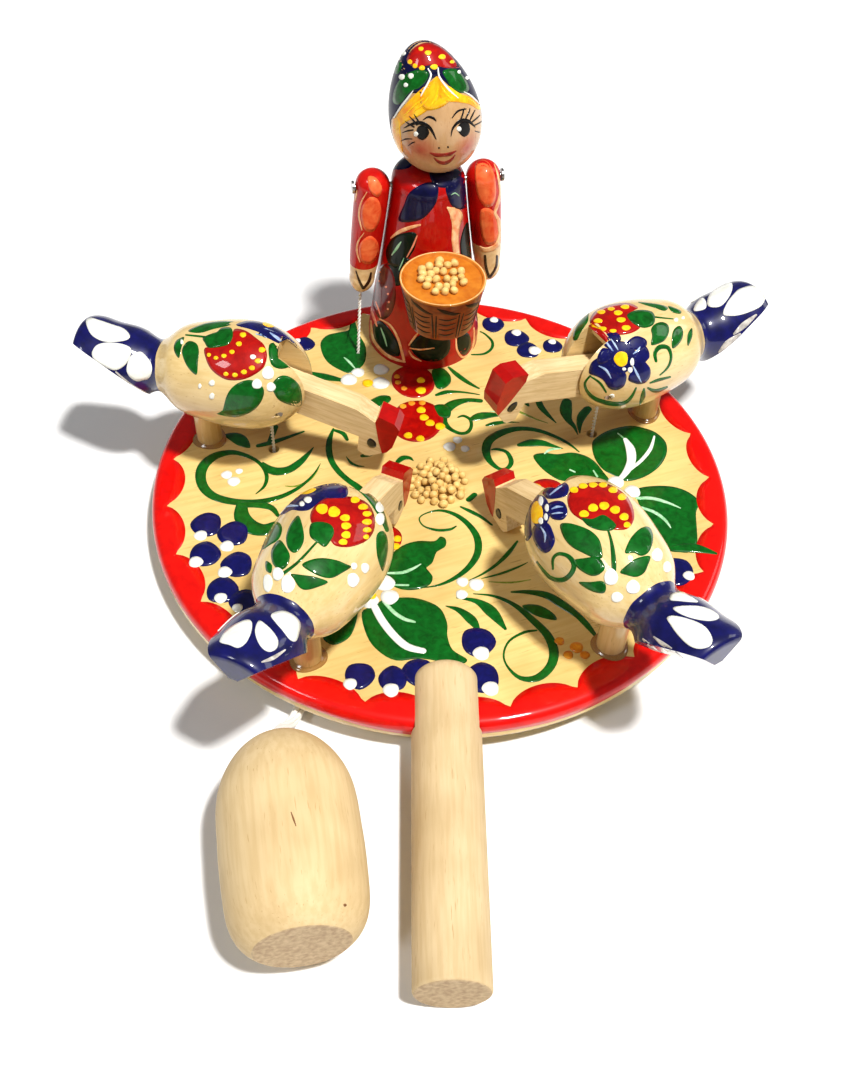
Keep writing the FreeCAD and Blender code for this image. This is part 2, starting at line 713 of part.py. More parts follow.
def grains(half_x, half_y, centre, missing, top_share):
    """Separate seeds packed in an oval, some left out, with a second layer in the middle."""
    across = size("grain_radius")
    seed = turned([(0, 0), (across * 0.7, 0), (across, across * 0.6), (across * 0.75, across * 1.35),
                   (0, across * 1.6)])
    pitch = 2 * across + size("grain_gap")
    row = pitch * math.sqrt(3) / 2
    reach = int(max(half_x, half_y) / row) + 2
    seeds = []
    for share, shift, lift in ((1.0, vec(0, 0, 0), 0.0),
                               (top_share, vec(pitch / 2, row / 3, 0), across * 1.47)):
        for i in range(-reach, reach + 1):
            for j in range(-reach, reach + 1):
                spot = vec(pitch * (j + (i % 2) / 2), row * i, lift) + shift
                far = math.hypot(spot.x / half_x, spot.y / half_y)
                if far < share and (5 * i + 3 * j) % missing != 1:
                    seeds.append(seed.translated(centre + spot))
    return Part.makeCompound(seeds)


basket_spot = vec(basket_reach, 0, cup_floor)
basket_heap = grains(size("basket_grain_depth"), size("basket_grain_side"), basket_spot, 3, 0.0)
feature("basket_grain", basket_heap, figure_place())
pile_spot = vec(size("pile_x"), size("pile_y"), BOARD_TOP)
feature("board_grain", grains(size("pile_side"), size("pile_depth"), pile_spot, 9, size("pile_top_share")))

# Weight: a turned barrel lying beside the handle.
dome = size("weight_dome")
heel = size("weight_heel")
length = size("weight_length")
barrel = size("weight_radius")
profile = []
for share in (1.0, 0.97, 0.85, 0.6, 0.3):
    profile.append((barrel * math.sqrt(1 - share ** 2), dome * (1 - share)))
belly = (dome + length - heel) / 2
profile.append((barrel - 0.05, (dome + belly) / 2))
profile.append((barrel, belly))
profile.append((barrel - 0.1, (belly + length - heel) / 2))
profile.append((barrel - 0.3, length - heel))
flat = size("weight_flat_radius")
profile.append((flat + (barrel - 0.3 - flat) * 0.82, length - heel * 0.45))
profile.append((flat, length))
weight_shape = turned_curve(profile, 0.0, length)
weight_level = FLOOR + barrel
weight_top = vec(size("weight_top_x"), size("weight_top_y"), weight_level)
lay = FreeCAD.Rotation(Z_AXIS, size("weight_bearing")).multiply(FreeCAD.Rotation(Y_AXIS, 90))
feature("weight", weight_shape, FreeCAD.Placement(weight_top, lay))

# Weight cord: from the gathering knot under the rim, up to the weight's top.
level = -size("cord_level")
knot_spot = vec(size("knot_x"), size("knot_y"), level)
cord_points = [
    (knot_spot.x, knot_spot.y, level),
    (-33.2, -62.6, level),
    (-36.6, -72.0, level + 0.5),
    (-39.0, -78.2, weight_level - 4.4),
    (weight_top.x, weight_top.y, weight_level),
]
feature("weight_cord", tube(cord_points, size("cord_radius"), "weight_cord"))

# Gathering knot: where the five strings are tied to the weight's cord.
knot_radius = size("cord_radius") * 1.35
toward_knot = (knot_spot - vec(*cord_points[1])).normalize()
knot_in = knot_spot + toward_knot * (knot_radius + size("glue_gap"))
feature("string_knot", Part.makeSphere(knot_radius, knot_in))

# Draw strings: five slack runs under the board, from each hole to the knot.
string_level = -size("string_radius") - 0.25
ROUTES = {
    "back_left": [(-50.5, -10.0), (-48.5, -28.5), (-39.5, -45.0)],
    "front_left": [(-18.0, -39.0), (-11.5, -43.5), (-15.5, -49.3), (-23.0, -49.2)],
    "front_right": [(14.5, -46.0), (-3.5, -49.5), (-20.5, -55.6)],
    "back_right": [(28.5, 1.5), (13.0, -7.5), (-5.5, -15.5), (-19.5, -27.5), (-29.5, -41.8)],
    "arm": [(-31.5, 31.5), (-26.0, 11.0), (-33.5, -8.0), (-31.5, -27.0), (-35.3, -42.6)],
}
starts = {hen["name"]: string_spot(hen) for hen in HENS}
starts["arm"] = vec(entry.x, entry.y, 0)
for name, route in ROUTES.items():
    start = starts[name]
    last = vec(route[-1][0], route[-1][1], string_level)
    end = knot_in + (last - knot_in).normalize() * knot_radius
    points = [(start.x, start.y, string_level)]
    points += [(x, y, string_level) for x, y in route]
    points.append((end.x, end.y, end.z))
    feature(name + "_draw_string", tube(points, size("string_radius"), name))

doc.recompute()
for item in doc.Objects:
    if "Invalid" in item.State or "Error" in item.State:
        raise RuntimeError("failed object: " + item.Name)
os.makedirs("parts", exist_ok=True)
for item in exported:
    if item.Shape.isNull() or not item.Shape.isValid():
        raise RuntimeError("bad shape: " + item.Label)
    item.Shape.exportStep("parts/%s.step" % item.Label)
print(len(exported), "nodes")
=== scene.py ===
import math
import random

import bpy
from mathutils import Matrix, Vector
from mathutils.bvhtree import BVHTree


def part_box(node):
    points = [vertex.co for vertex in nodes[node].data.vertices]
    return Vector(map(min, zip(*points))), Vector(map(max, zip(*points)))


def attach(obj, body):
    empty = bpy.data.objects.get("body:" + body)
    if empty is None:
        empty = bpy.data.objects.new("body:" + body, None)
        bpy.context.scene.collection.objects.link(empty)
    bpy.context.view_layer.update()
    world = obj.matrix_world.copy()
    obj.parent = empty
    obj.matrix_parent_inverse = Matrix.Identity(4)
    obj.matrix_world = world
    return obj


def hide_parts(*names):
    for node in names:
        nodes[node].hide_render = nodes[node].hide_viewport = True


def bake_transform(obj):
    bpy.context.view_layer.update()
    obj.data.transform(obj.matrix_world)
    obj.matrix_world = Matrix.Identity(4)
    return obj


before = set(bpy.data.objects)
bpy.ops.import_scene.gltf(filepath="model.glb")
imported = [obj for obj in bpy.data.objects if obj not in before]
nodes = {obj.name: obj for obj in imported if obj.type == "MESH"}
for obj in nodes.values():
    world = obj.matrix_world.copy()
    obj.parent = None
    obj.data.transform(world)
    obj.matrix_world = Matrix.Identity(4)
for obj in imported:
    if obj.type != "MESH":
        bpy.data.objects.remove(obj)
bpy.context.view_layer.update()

# Camera, table and lamps: the toy lies on a pale table, seen from the handle's side and a
# little above the heads. A ceiling lamp stands to the right, a window gives a faint light
# from the left.
MM = 0.001
board_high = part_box("board")[1]
table_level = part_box("handle")[0].z

CAMERA_SPOT = Vector((-12.66, -222.02, 244.92)) * MM
CAMERA_RIGHT = Vector((0.9996, -0.0100, 0.0281))
CAMERA_UP = Vector((-0.0106, 0.7623, 0.6472))
CAMERA_LENS = 40.34

back = CAMERA_RIGHT.cross(CAMERA_UP).normalized()
across = CAMERA_UP.cross(back).normalized()
upward = back.cross(across)
camera = bpy.data.objects.new("camera", bpy.data.cameras.new("camera"))
camera.matrix_world = Matrix.Translation(CAMERA_SPOT) @ Matrix((across, upward, back)).transposed().to_4x4()
camera.data.lens = CAMERA_LENS
camera.data.sensor_width = 36
camera.data.clip_start = 0.01
bpy.context.scene.collection.objects.link(camera)
bpy.context.scene.camera = camera
bpy.context.scene.view_settings.view_transform = "Standard"
bpy.context.scene.view_settings.exposure = 0.0


def new_finish(name, rough, **settings):
    """A material with its shader's even values set; returns its node tree and shader."""
    finish = bpy.data.materials.new(name)
    finish.use_nodes = True
    shader = finish.node_tree.nodes["Principled BSDF"]
    shader.inputs["Roughness"].default_value = rough
    for label, value in settings.items():
        shader.inputs[label.replace("_", " ")].default_value = value
    return finish, finish.node_tree, shader


def link(tree, source, output, target, socket):
    """Join two sockets of a node tree."""
    tree.links.new(source.outputs[output], target.inputs[socket])


def add_node(tree, kind, **settings):
    """Add one shader node; settings with a capital are its sockets, the rest its own values."""
    node = tree.nodes.new("ShaderNode" + kind)
    for label, value in settings.items():
        if label[0].isupper():
            node.inputs[label.replace("_", " ")].default_value = value
        else:
            setattr(node, label, value)
    return node


def blend_colours(tree, low, high, start=0.0, end=1.0):
    """A ramp from one colour to another."""
    ramp = add_node(tree, "ValToRGB")
    ramp.color_ramp.elements[0].position = start
    ramp.color_ramp.elements[0].color = (*low, 1)
    ramp.color_ramp.elements[1].position = end
    ramp.color_ramp.elements[1].color = (*high, 1)
    return ramp


def mottled(name, low, high, scale, detail=2.0, **settings):
    """A finish that goes from one tone to another in soft spots."""
    finish, tree, shader = new_finish(name, **settings)
    spots = add_node(tree, "TexNoise", Scale=scale, Detail=detail)
    tone = blend_colours(tree, low, high, start=0.3, end=0.7)
    link(tree, spots, "Fac", tone, "Fac")
    link(tree, tone, "Color", shader, "Base Color")
    return finish


def relief(tree, shader, source, output, strength, depth):
    """Let a pattern stand proud of the surface by a small depth."""
    bump = add_node(tree, "Bump", Strength=strength, Distance=depth)
    link(tree, source, output, bump, "Height")
    link(tree, bump, "Normal", shader, "Normal")


def mesh_piece(name, points, faces, body, finish, smooth=True):
    """Make one piece from its points and faces; it rides on a body when one is given."""
    mesh = bpy.data.meshes.new(name)
    mesh.from_pydata(points, [], faces)
    mesh.polygons.foreach_set("use_smooth", [smooth] * len(mesh.polygons))
    mesh.materials.append(finish)
    piece = bpy.data.objects.new(name, mesh)
    bpy.context.scene.collection.objects.link(piece)
    if body:
        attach(piece, body)
    return piece


TABLE_HALF = 2.5
table_finish = mottled("table_top", (0.88, 0.885, 0.89), (0.93, 0.93, 0.93), scale=9.0, detail=3.0,
                       rough=0.6, Specular_IOR_Level=0.25)
table_mesh = bpy.data.meshes.new("table")
table_mesh.from_pydata([(x * TABLE_HALF, y * TABLE_HALF, table_level)
                        for x, y in ((-1, -1), (1, -1), (1, 1), (-1, 1))], [], [(0, 1, 2, 3)])
table_mesh.materials.append(table_finish)
table = bpy.data.objects.new("table", table_mesh)
bpy.context.scene.collection.objects.link(table)

sky = bpy.data.worlds.new("room")
sky.use_nodes = True
sky.node_tree.nodes["Background"].inputs["Color"].default_value = (1.0, 0.99, 0.97, 1)
sky.node_tree.nodes["Background"].inputs["Strength"].default_value = 0.16
bpy.context.scene.world = sky


def lamp(name, direction, distance, side, power, colour):
    """A square soft lamp that faces the board from a direction."""
    light = bpy.data.lights.new(name, "AREA")
    light.size = side
    light.energy = power
    light.color = colour
    holder = bpy.data.objects.new(name, light)
    holder.location = Vector(direction).normalized() * distance
    holder.rotation_euler = Vector(direction).to_track_quat("Z", "Y").to_euler()
    bpy.context.scene.collection.objects.link(holder)


LAMP_FAR = 1.6
lamp("ceiling_lamp", (0.28, -0.27, 1.0), LAMP_FAR, side=0.13, power=36.0, colour=(1.0, 0.985, 0.96))
lamp("window_light", (-0.70, -0.45, 0.95), LAMP_FAR, side=0.30, power=5.0, colour=(0.96, 0.98, 1.0))
lamp("back_window", (1.0, 0.35, 0.6), LAMP_FAR, side=0.5, power=2.5, colour=(1.0, 1.0, 1.0))

# Strings under the board: five slack cotton strings run from their holes to one knot, and
# the weight hangs from it on a short bundle. Each is laid from thin plies, one helix each.
STRING_THICK = 1.0 * MM
STRING_LAY = 2.4 * MM
STRING_LEVEL = -0.75
CORD_THICK = 3.0 * MM
ARM_HOLE = Vector((-24.1, 48.9, 0))
knot_low, knot_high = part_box("string_knot")
knot_middle = (knot_low + knot_high) / 2
knot_reach = (knot_high.z - knot_low.z) / 2 / MM


def cotton_finish(name, pale, shade, fibre):
    """Soft white cotton with fine fibres."""
    finish, tree, shader = new_finish(name, rough=0.9, Sheen_Weight=0.3, Sheen_Roughness=0.6)
    fuzz = add_node(tree, "TexNoise", Scale=fibre, Detail=4.0, Roughness=0.7)
    tone = blend_colours(tree, shade, pale, start=0.35, end=0.65)
    link(tree, fuzz, "Fac", tone, "Fac")
    link(tree, tone, "Color", shader, "Base Color")
    relief(tree, shader, fuzz, "Fac", strength=0.5, depth=0.00005)
    return finish


cotton = cotton_finish("cotton_string", (0.86, 0.84, 0.78), (0.66, 0.63, 0.56), fibre=5000.0)


def lay_line(points):
    """The smooth centre line of a string through its route's points."""
    curve = bpy.data.curves.new("line", "CURVE")
    curve.dimensions = "3D"
    curve.resolution_u = 12
    spline = curve.splines.new("NURBS")
    spline.points.add(len(points) - 1)
    for point, spot in zip(spline.points, points):
        point.co = (*(Vector(spot) * MM), 1)
    spline.order_u = 3
    spline.use_endpoint_u = True
    holder = bpy.data.objects.new("line", curve)
    bpy.context.scene.collection.objects.link(holder)
    mesh = bpy.data.meshes.new_from_object(holder)
    line = [vertex.co.copy() for vertex in mesh.vertices]
    bpy.data.objects.remove(holder)
    return line


def even_steps(line, step):
    """The same line with points at equal steps."""
    run = [0.0]
    for a, b in zip(line, line[1:]):
        run.append(run[-1] + (b - a).length)
    count = max(2, round(run[-1] / step))
    spots = []
    k = 0
    for i in range(count + 1):
        goal = run[-1] * i / count
        while k < len(run) - 2 and run[k + 1] < goal:
            k += 1
        share = (goal - run[k]) / max(run[k + 1] - run[k], 1e-12)
        spots.append(line[k].lerp(line[k + 1], min(max(share, 0.0), 1.0)))
    return spots, run[-1]


def band(a, b, count):
    """The faces between two rings of points, given by the first point of each."""
    return [(a + k, a + (k + 1) % count, b + (k + 1) % count, b + k) for k in range(count)]


def twisted(line, thick, plies, lay_length, sides=8):
    """Points and faces of a string whose plies wind round its centre line."""
    step = lay_length / 14
    spots, length = even_steps(line, step)
    ply_radius = thick / 2 / (1 + 1 / math.sin(math.pi / plies)) if plies > 2 else thick / 4
    orbit = thick / 2 - ply_radius
    side = Vector((0, 0, 1)) if abs((spots[1] - spots[0]).normalized().z) < 0.9 else Vector((1, 0, 0))
    points = []
    faces = []
    frames = []
    for i, spot in enumerate(spots):
        ahead = (spots[min(i + 1, len(spots) - 1)] - spots[max(i - 1, 0)]).normalized()
        side = (side - ahead * side.dot(ahead)).normalized()
        frames.append((spot, side, ahead.cross(side)))
    for ply in range(plies):
        first = len(points)
        for i, (spot, u, v) in enumerate(frames):
            turn = 2 * math.pi * (ply / plies + i * step / lay_length)
            centre = spot + (u * math.cos(turn) + v * math.sin(turn)) * orbit
            for k in range(sides):
                angle = 2 * math.pi * k / sides
                points.append(centre + (u * math.cos(angle) + v * math.sin(angle)) * ply_radius)
        last = len(frames) - 1
        for i in range(last):
            faces += band(first + i * sides, first + (i + 1) * sides, sides)
        faces.append(tuple(first + k for k in reversed(range(sides))))
        faces.append(tuple(first + last * sides + k for k in range(sides)))
    return points, faces, length


STRING_ROUTES = {
    "back_left": [(-50.5, -10.0), (-48.5, -28.5), (-39.5, -45.0)],
    "front_left": [(-18.0, -39.0), (-11.5, -43.5), (-15.5, -49.3), (-23.0, -49.2)],
    "front_right": [(14.5, -46.0), (-3.5, -49.5), (-20.5, -55.6)],
    "back_right": [(28.5, 1.5), (13.0, -7.5), (-5.5, -15.5), (-19.5, -27.5), (-29.5, -41.8)],
    "arm": [(-31.5, 31.5), (-26.0, 11.0), (-33.5, -8.0), (-31.5, -27.0), (-35.3, -42.6)],
}
for name, route in STRING_ROUTES.items():
    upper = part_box("arm_string" if name == "arm" else name + "_neck_string")
    hole = (upper[0] + upper[1]) / 2 / MM
    if name == "arm":
        hole = ARM_HOLE
    last = Vector((*route[-1], STRING_LEVEL))
    end = knot_middle / MM + (last - knot_middle / MM).normalized() * knot_reach
    line = lay_line([(hole.x, hole.y, STRING_LEVEL), *((x, y, STRING_LEVEL) for x, y in route), end])
    points, faces, length = twisted(line, STRING_THICK, plies=2, lay_length=STRING_LAY)
    string = mesh_piece(name + "_slack_string", points, faces, "base", cotton)
    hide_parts(name + "_draw_string")
    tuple(line[0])

# Board: a disc of pale linden, turned with a rounded edge and varnished. A painter laid the
# red scallops, the scrolls and leaves, the berries and the white dots on it in thick enamel,
# one colour after another, so each mark stands a hair above the last.
BOARD_TOP = board_high.z / MM
BOARD_RADIUS = 77.5
LAYER_STEP = 0.0006
LAYER_COUNT = 30
GREEN_LIFT, RED_LIFT, CALYX_LIFT, NAVY_LIFT, YELLOW_LIFT, WHITE_LIFT = 0.03, 0.05, 0.07, 0.09, 0.11, 0.13
OLIVE_LIFT = GREEN_LIFT - 0.008
LEAF_TIP_LIFT = RED_LIFT + 0.02
LEAF_LIGHT_LIFT = WHITE_LIFT - 0.01
YELLOW_DAB_LIFT = YELLOW_LIFT + 0.02


def tint(red, green, blue):
    """A colour from a paint chart's 0 to 255 values."""
    return tuple(c / 3294.6 if c <= 10 else ((c / 255 + 0.055) / 1.055) ** 2.4
                 for c in (red, green, blue))


def timber(name, pale, deep, fleck, turn=(0, 0, 0), place=(0, 0, 0), rough=0.5, coat=0.0, lines=900.0):
    """Wood whose grain runs along its own X: long fine lines, soft clouds and short pores."""
    finish, tree, shader = new_finish(name, rough, Specular_IOR_Level=0.2, Coat_Weight=coat,
                                      Coat_Roughness=0.06, Coat_IOR=1.45)
    where = add_node(tree, "TexCoord")
    along = add_node(tree, "Mapping", vector_type="TEXTURE", Location=place, Rotation=turn, Scale=(14.0, 1.0, 1.0))
    link(tree, where, "Object", along, "Vector")
    streak = add_node(tree, "TexNoise", Scale=lines, Detail=3.0, Roughness=0.55)
    cloud = add_node(tree, "TexNoise", Scale=55.0, Detail=2.0)
    pores = add_node(tree, "TexNoise", Scale=2600.0, Detail=2.0)
    for pattern in (streak, pores):
        link(tree, along, "Vector", pattern, "Vector")
    link(tree, where, "Object", cloud, "Vector")
    base = blend_colours(tree, deep, pale, start=0.36, end=0.6)
    link(tree, streak, "Fac", base, "Fac")
    shade = blend_colours(tree, (0.86, 0.83, 0.78), (1.0, 1.0, 1.0), start=0.35, end=0.6)
    link(tree, cloud, "Fac", shade, "Fac")
    toned = add_node(tree, "MixRGB", blend_type="MULTIPLY", Fac=1.0)
    link(tree, base, "Color", toned, "Color1")
    link(tree, shade, "Color", toned, "Color2")
    speck = blend_colours(tree, (0, 0, 0), (1, 1, 1), start=0.66, end=0.74)
    link(tree, pores, "Fac", speck, "Fac")
    full = add_node(tree, "MixRGB", Color2=(*fleck, 1))
    link(tree, speck, "Color", full, "Fac")
    link(tree, toned, "Color", full, "Color1")
    link(tree, full, "Color", shader, "Base Color")
    relief(tree, shader, streak, "Fac", strength=0.12 if coat else 0.3, depth=0.0001)
    return finish


def enamel(name, deep, pale, streaks=420.0, coat=0.6):
    """Glossy enamel put on with a brush: thicker and thinner in soft streaks."""
    finish, tree, shader = new_finish(name, rough=0.4, Specular_IOR_Level=0.12, Coat_Weight=coat,
                                      Coat_Roughness=0.05, Coat_IOR=1.45)
    where = add_node(tree, "TexCoord")
    brush = add_node(tree, "TexNoise", Scale=streaks, Detail=3.0, Roughness=0.6, Distortion=0.6)
    link(tree, where, "Object", brush, "Vector")
    tone = blend_colours(tree, deep, pale, start=0.32, end=0.68)
    link(tree, brush, "Fac", tone, "Fac")
    link(tree, tone, "Color", shader, "Base Color")
    relief(tree, shader, brush, "Fac", strength=0.2, depth=0.00008)
    return finish


def dress(node, finish):
    """Give a solid of the model its finish."""
    slots = nodes[node].data.materials
    for i in range(len(slots)):
        slots[i] = finish
    if not len(slots):
        slots.append(finish)


def skin(node):
    """A solid's surface, to lay paint on."""
    mesh = nodes[node].data
    return BVHTree.FromPolygons([vertex.co for vertex in mesh.vertices],
                                [tuple(face.vertices) for face in mesh.polygons])


def marks(text):
    """Read painted marks: one mark a row, its points as numbers joined by commas."""
    return [[tuple(float(n) for n in spot.split(",")) for spot in row.split()]
            for row in text.strip().splitlines()]


def bow(spots, closed=False, steps=4):
    """A smooth line through points; a width is carried along with them."""
    count = len(spots)
    line = []
    for i in range(count if closed else count - 1):
        four = [spots[(i + k) % count] if closed else spots[min(max(i + k, 0), count - 1)]
                for k in (-1, 0, 1, 2)]
        for j in range(steps):
            t = j / steps
            line.append(tuple(0.5 * (2 * b + (c - a) * t + (2 * a - 5 * b + 4 * c - d) * t * t
                                     + (3 * b - a - 3 * c + d) * t ** 3) for a, b, c, d in zip(*four)))
    return line if closed else line + [tuple(spots[-1])]


def stroke(spots, across=4, steps=4):
    """One pull of the brush: a strip with a width at each point and round ends."""
    line = bow(spots, steps=steps)
    rows = []
    for i, (x, y, width) in enumerate(line):
        x0, y0 = line[max(i - 1, 0)][:2]
        x1, y1 = line[min(i + 1, len(line) - 1)][:2]
        run = math.hypot(x1 - x0, y1 - y0) or 1.0
        rows.append((x, y, max(width, 0.12) / 2, (x1 - x0) / run, (y1 - y0) / run))
    ends = []
    for sign, row in ((-1, rows[0]), (1, rows[-1])):
        x, y, half, dx, dy = row
        ends.append([(x + sign * dx * half * math.sin(a), y + sign * dy * half * math.sin(a),
                      half * math.cos(a), dx, dy) for a in (0.55, 1.05, 1.4)])
    rows = ends[0][::-1] + rows + ends[1]
    spots = [(x - dy * half * t, y + dx * half * t) for x, y, half, dx, dy in rows
             for t in (2 * k / across - 1 for k in range(across + 1))]
    wide = across + 1
    faces = [(i * wide + k, i * wide + k + 1, (i + 1) * wide + k + 1, (i + 1) * wide + k)
             for i in range(len(rows) - 1) for k in range(across)]
    last = (len(rows) - 1) * wide
    rim = (list(range(wide)) + [i * wide + across for i in range(1, len(rows))]
           + [last + k for k in reversed(range(across))] + [i * wide for i in reversed(range(1, len(rows) - 1))])
    return spots, faces, rim


def blob(spots, step=1.3, steps=4):
    """A filled patch inside a smooth closed outline, in rings round its middle."""
    line = [spot[:2] for spot in bow(spots, closed=True, steps=steps)]
    count = len(line)
    mx = sum(x for x, y in line) / count
    my = sum(y for x, y in line) / count
    reach = max(math.hypot(x - mx, y - my) for x, y in line)
    rings = max(2, round(reach / step))
    points = [(mx, my)] + [(mx + (x - mx) * ring / rings, my + (y - my) * ring / rings)
                           for ring in range(1, rings + 1) for x, y in line]
    faces = [(0, 1 + k, 1 + (k + 1) % count) for k in range(count)]
    for ring in range(rings - 1):
        a, b = 1 + ring * count, 1 + (ring + 1) * count
        faces += [(a + k, b + k, b + (k + 1) % count, a + (k + 1) % count) for k in range(count)]
    return points, faces, [1 + (rings - 1) * count + k for k in range(count)]


def dot(x, y, radius, tall=1.0, lean=0.0):
    """A dab of the brush's tip, never quite round."""
    spots = []
    for k in range(8):
        angle = k * math.pi / 4
        r = radius * (1 + 0.06 * math.sin(3 * angle + x * 2.1 + y))
        dx, dy = r * math.cos(angle), r * tall * math.sin(angle)
        spots.append((x + dx * math.cos(lean) - dy * math.sin(lean), y + dx * math.sin(lean) + dy * math.cos(lean)))
    return blob(spots, steps=3)


def strokes(text, across=4):
    """A stroke for each row of marks."""
    return [stroke(row, across=across) for row in marks(text)]


def dots(text):
    """A dab for each row of marks."""
    return [dot(*row[0]) for row in marks(text)]


def leaf(x0, y0, x1, y1, width, bend=0.12):
    """A leaf drawn in one press of the brush, from its stalk to its tip."""
    dx, dy = x1 - x0, y1 - y0
    form = ((0, 0.14), (0.14, 0.62), (0.34, 1.0), (0.58, 0.92), (0.8, 0.55), (1.0, 0.05))
    return stroke([(x0 + dx * t - dy * bend * 4 * t * (1 - t), y0 + dy * t + dx * bend * 4 * t * (1 - t), width * w)
                   for t, w in form], across=6)


def anticlockwise(spots, loop):
    """Whether a loop through flat points, given by their numbers, runs anticlockwise."""
    return sum(spots[p][0] * spots[q][1] - spots[q][0] * spots[p][1]
               for p, q in zip(loop, loop[1:] + loop[:1])) > 0


def paint(name, body, finish, place, lift, shapes, sink=-0.04):
    """Lay shapes of one colour on a surface as closed films and join them into one piece."""
    points = []
    faces = []
    smooth = []
    for i, (spots, patch, rim) in enumerate(shapes):
        rise = lift + (i % LAYER_COUNT) * LAYER_STEP
        a = len(points)
        b = a + len(spots)
        points += [place(u, v, rise) for u, v in spots] + [place(u, v, sink) for u, v in spots]
        face = patch[len(patch) // 2]
        corner = [points[a + k] for k in face]
        facing = (corner[1] - corner[0]).cross(corner[2] - corner[0])
        turned = facing.dot(corner[0] - points[b + face[0]]) < 0
        along = anticlockwise(spots, rim) == anticlockwise(spots, face)
        top = [[a + k for k in (reversed(face) if turned else face)] for face in patch]
        under = [[b + k for k in (face if turned else reversed(face))] for face in patch]
        wall = [(a + p, b + p, b + q, a + q) if along != turned else (a + q, b + q, b + p, a + p)
                for p, q in zip(rim, rim[1:] + rim[:1])]
        faces += top + under + wall
        smooth += [True] * len(top) + [False] * (len(under) + len(wall))
    piece = mesh_piece(name, points, faces, body, finish)
    piece.data.polygons.foreach_set("use_smooth", smooth)
    return piece


board_wood = timber("board_varnish", tint(226, 196, 126), tint(218, 185, 113), tint(184, 148, 84),
                    turn=(0, 0, 0.35), rough=0.38, coat=0.6, lines=700.0)
dress("board", board_wood)
red = enamel("red_enamel", tint(198, 6, 2), tint(218, 12, 4), streaks=300.0)
green = enamel("green_enamel", tint(0, 66, 8), tint(4, 98, 24), streaks=520.0)
pale_green = enamel("pale_green_enamel", tint(120, 190, 130), tint(196, 232, 196), streaks=600.0)
olive = enamel("olive_enamel", tint(96, 118, 22), tint(140, 160, 60), streaks=600.0)
berry_red = enamel("berry_enamel", tint(140, 4, 2), tint(176, 12, 4), streaks=420.0)
navy = enamel("navy_enamel", tint(4, 6, 62), tint(12, 14, 88), streaks=420.0)
yellow = enamel("yellow_enamel", tint(244, 176, 8), tint(250, 206, 24), streaks=600.0)
orange = enamel("orange_enamel", tint(206, 110, 20), tint(238, 160, 40), streaks=600.0)
white = enamel("white_enamel", tint(226, 228, 218), tint(240, 240, 232), streaks=700.0)


def on_board(x, y, lift):
    """A spot of paint on the board's flat top."""
    return Vector((x, y, BOARD_TOP + lift)) * MM


def scalloped_edge():
    """The red border: half-round lobes inside, over the rounded edge and down the side."""
    lobes, first, edge = 27, 188.1, 2.4
    points = []
    faces = []
    count = 432
    for i in range(count):
        angle = 360.0 * i / count
        part = ((angle - first) % 360) / 360 * lobes
        lobe = int(part)
        t = part - lobe
        deep = 5.3 + 0.45 * math.sin(lobe * 2.7)
        inner = 74.6 - deep * max(0.0, 1 - (2 * t - 1) ** 2) ** 0.55
        low = 3.4 + 0.35 * math.sin(angle * 0.21) + 0.2 * math.sin(angle * 0.083 + 1)
        spots = [(inner, BOARD_TOP, 0, 1), ((inner + 75.1) / 2, BOARD_TOP, 0, 1), (75.0, BOARD_TOP, 0, 1)]
        for k in range(1, 7):
            bend = math.pi / 2 * k / 6
            spots.append((BOARD_RADIUS - edge + edge * math.sin(bend), BOARD_TOP - edge + edge * math.cos(bend),
                          math.sin(bend), math.cos(bend)))
        spots.append((BOARD_RADIUS, low, 1, 0))
        c, s = math.cos(math.radians(angle)), math.sin(math.radians(angle))
        for lift in (RED_LIFT, -0.08):
            points += [Vector(((r + lift * out) * c, (r + lift * out) * s, z + lift * up)) * MM
                       for r, z, out, up in spots]
    wide = len(points) // count
    half = wide // 2
    for i in range(count):
        a, b = i * wide, (i + 1) % count * wide
        for k in range(half - 1):
            faces.append((a + k, a + k + 1, b + k + 1, b + k))
            faces.append((a + half + k, b + half + k, b + half + k + 1, a + half + k + 1))
        faces.append((a, b, b + half, a + half))
        faces.append((a + half - 1, a + wide - 1, b + wide - 1, b + half - 1))
    piece = mesh_piece("red_scallops", points, faces, "base", red)
    piece.data.polygons.foreach_set("use_smooth", [f % (2 * half) < 2 * (half - 1) for f in range(len(faces))])


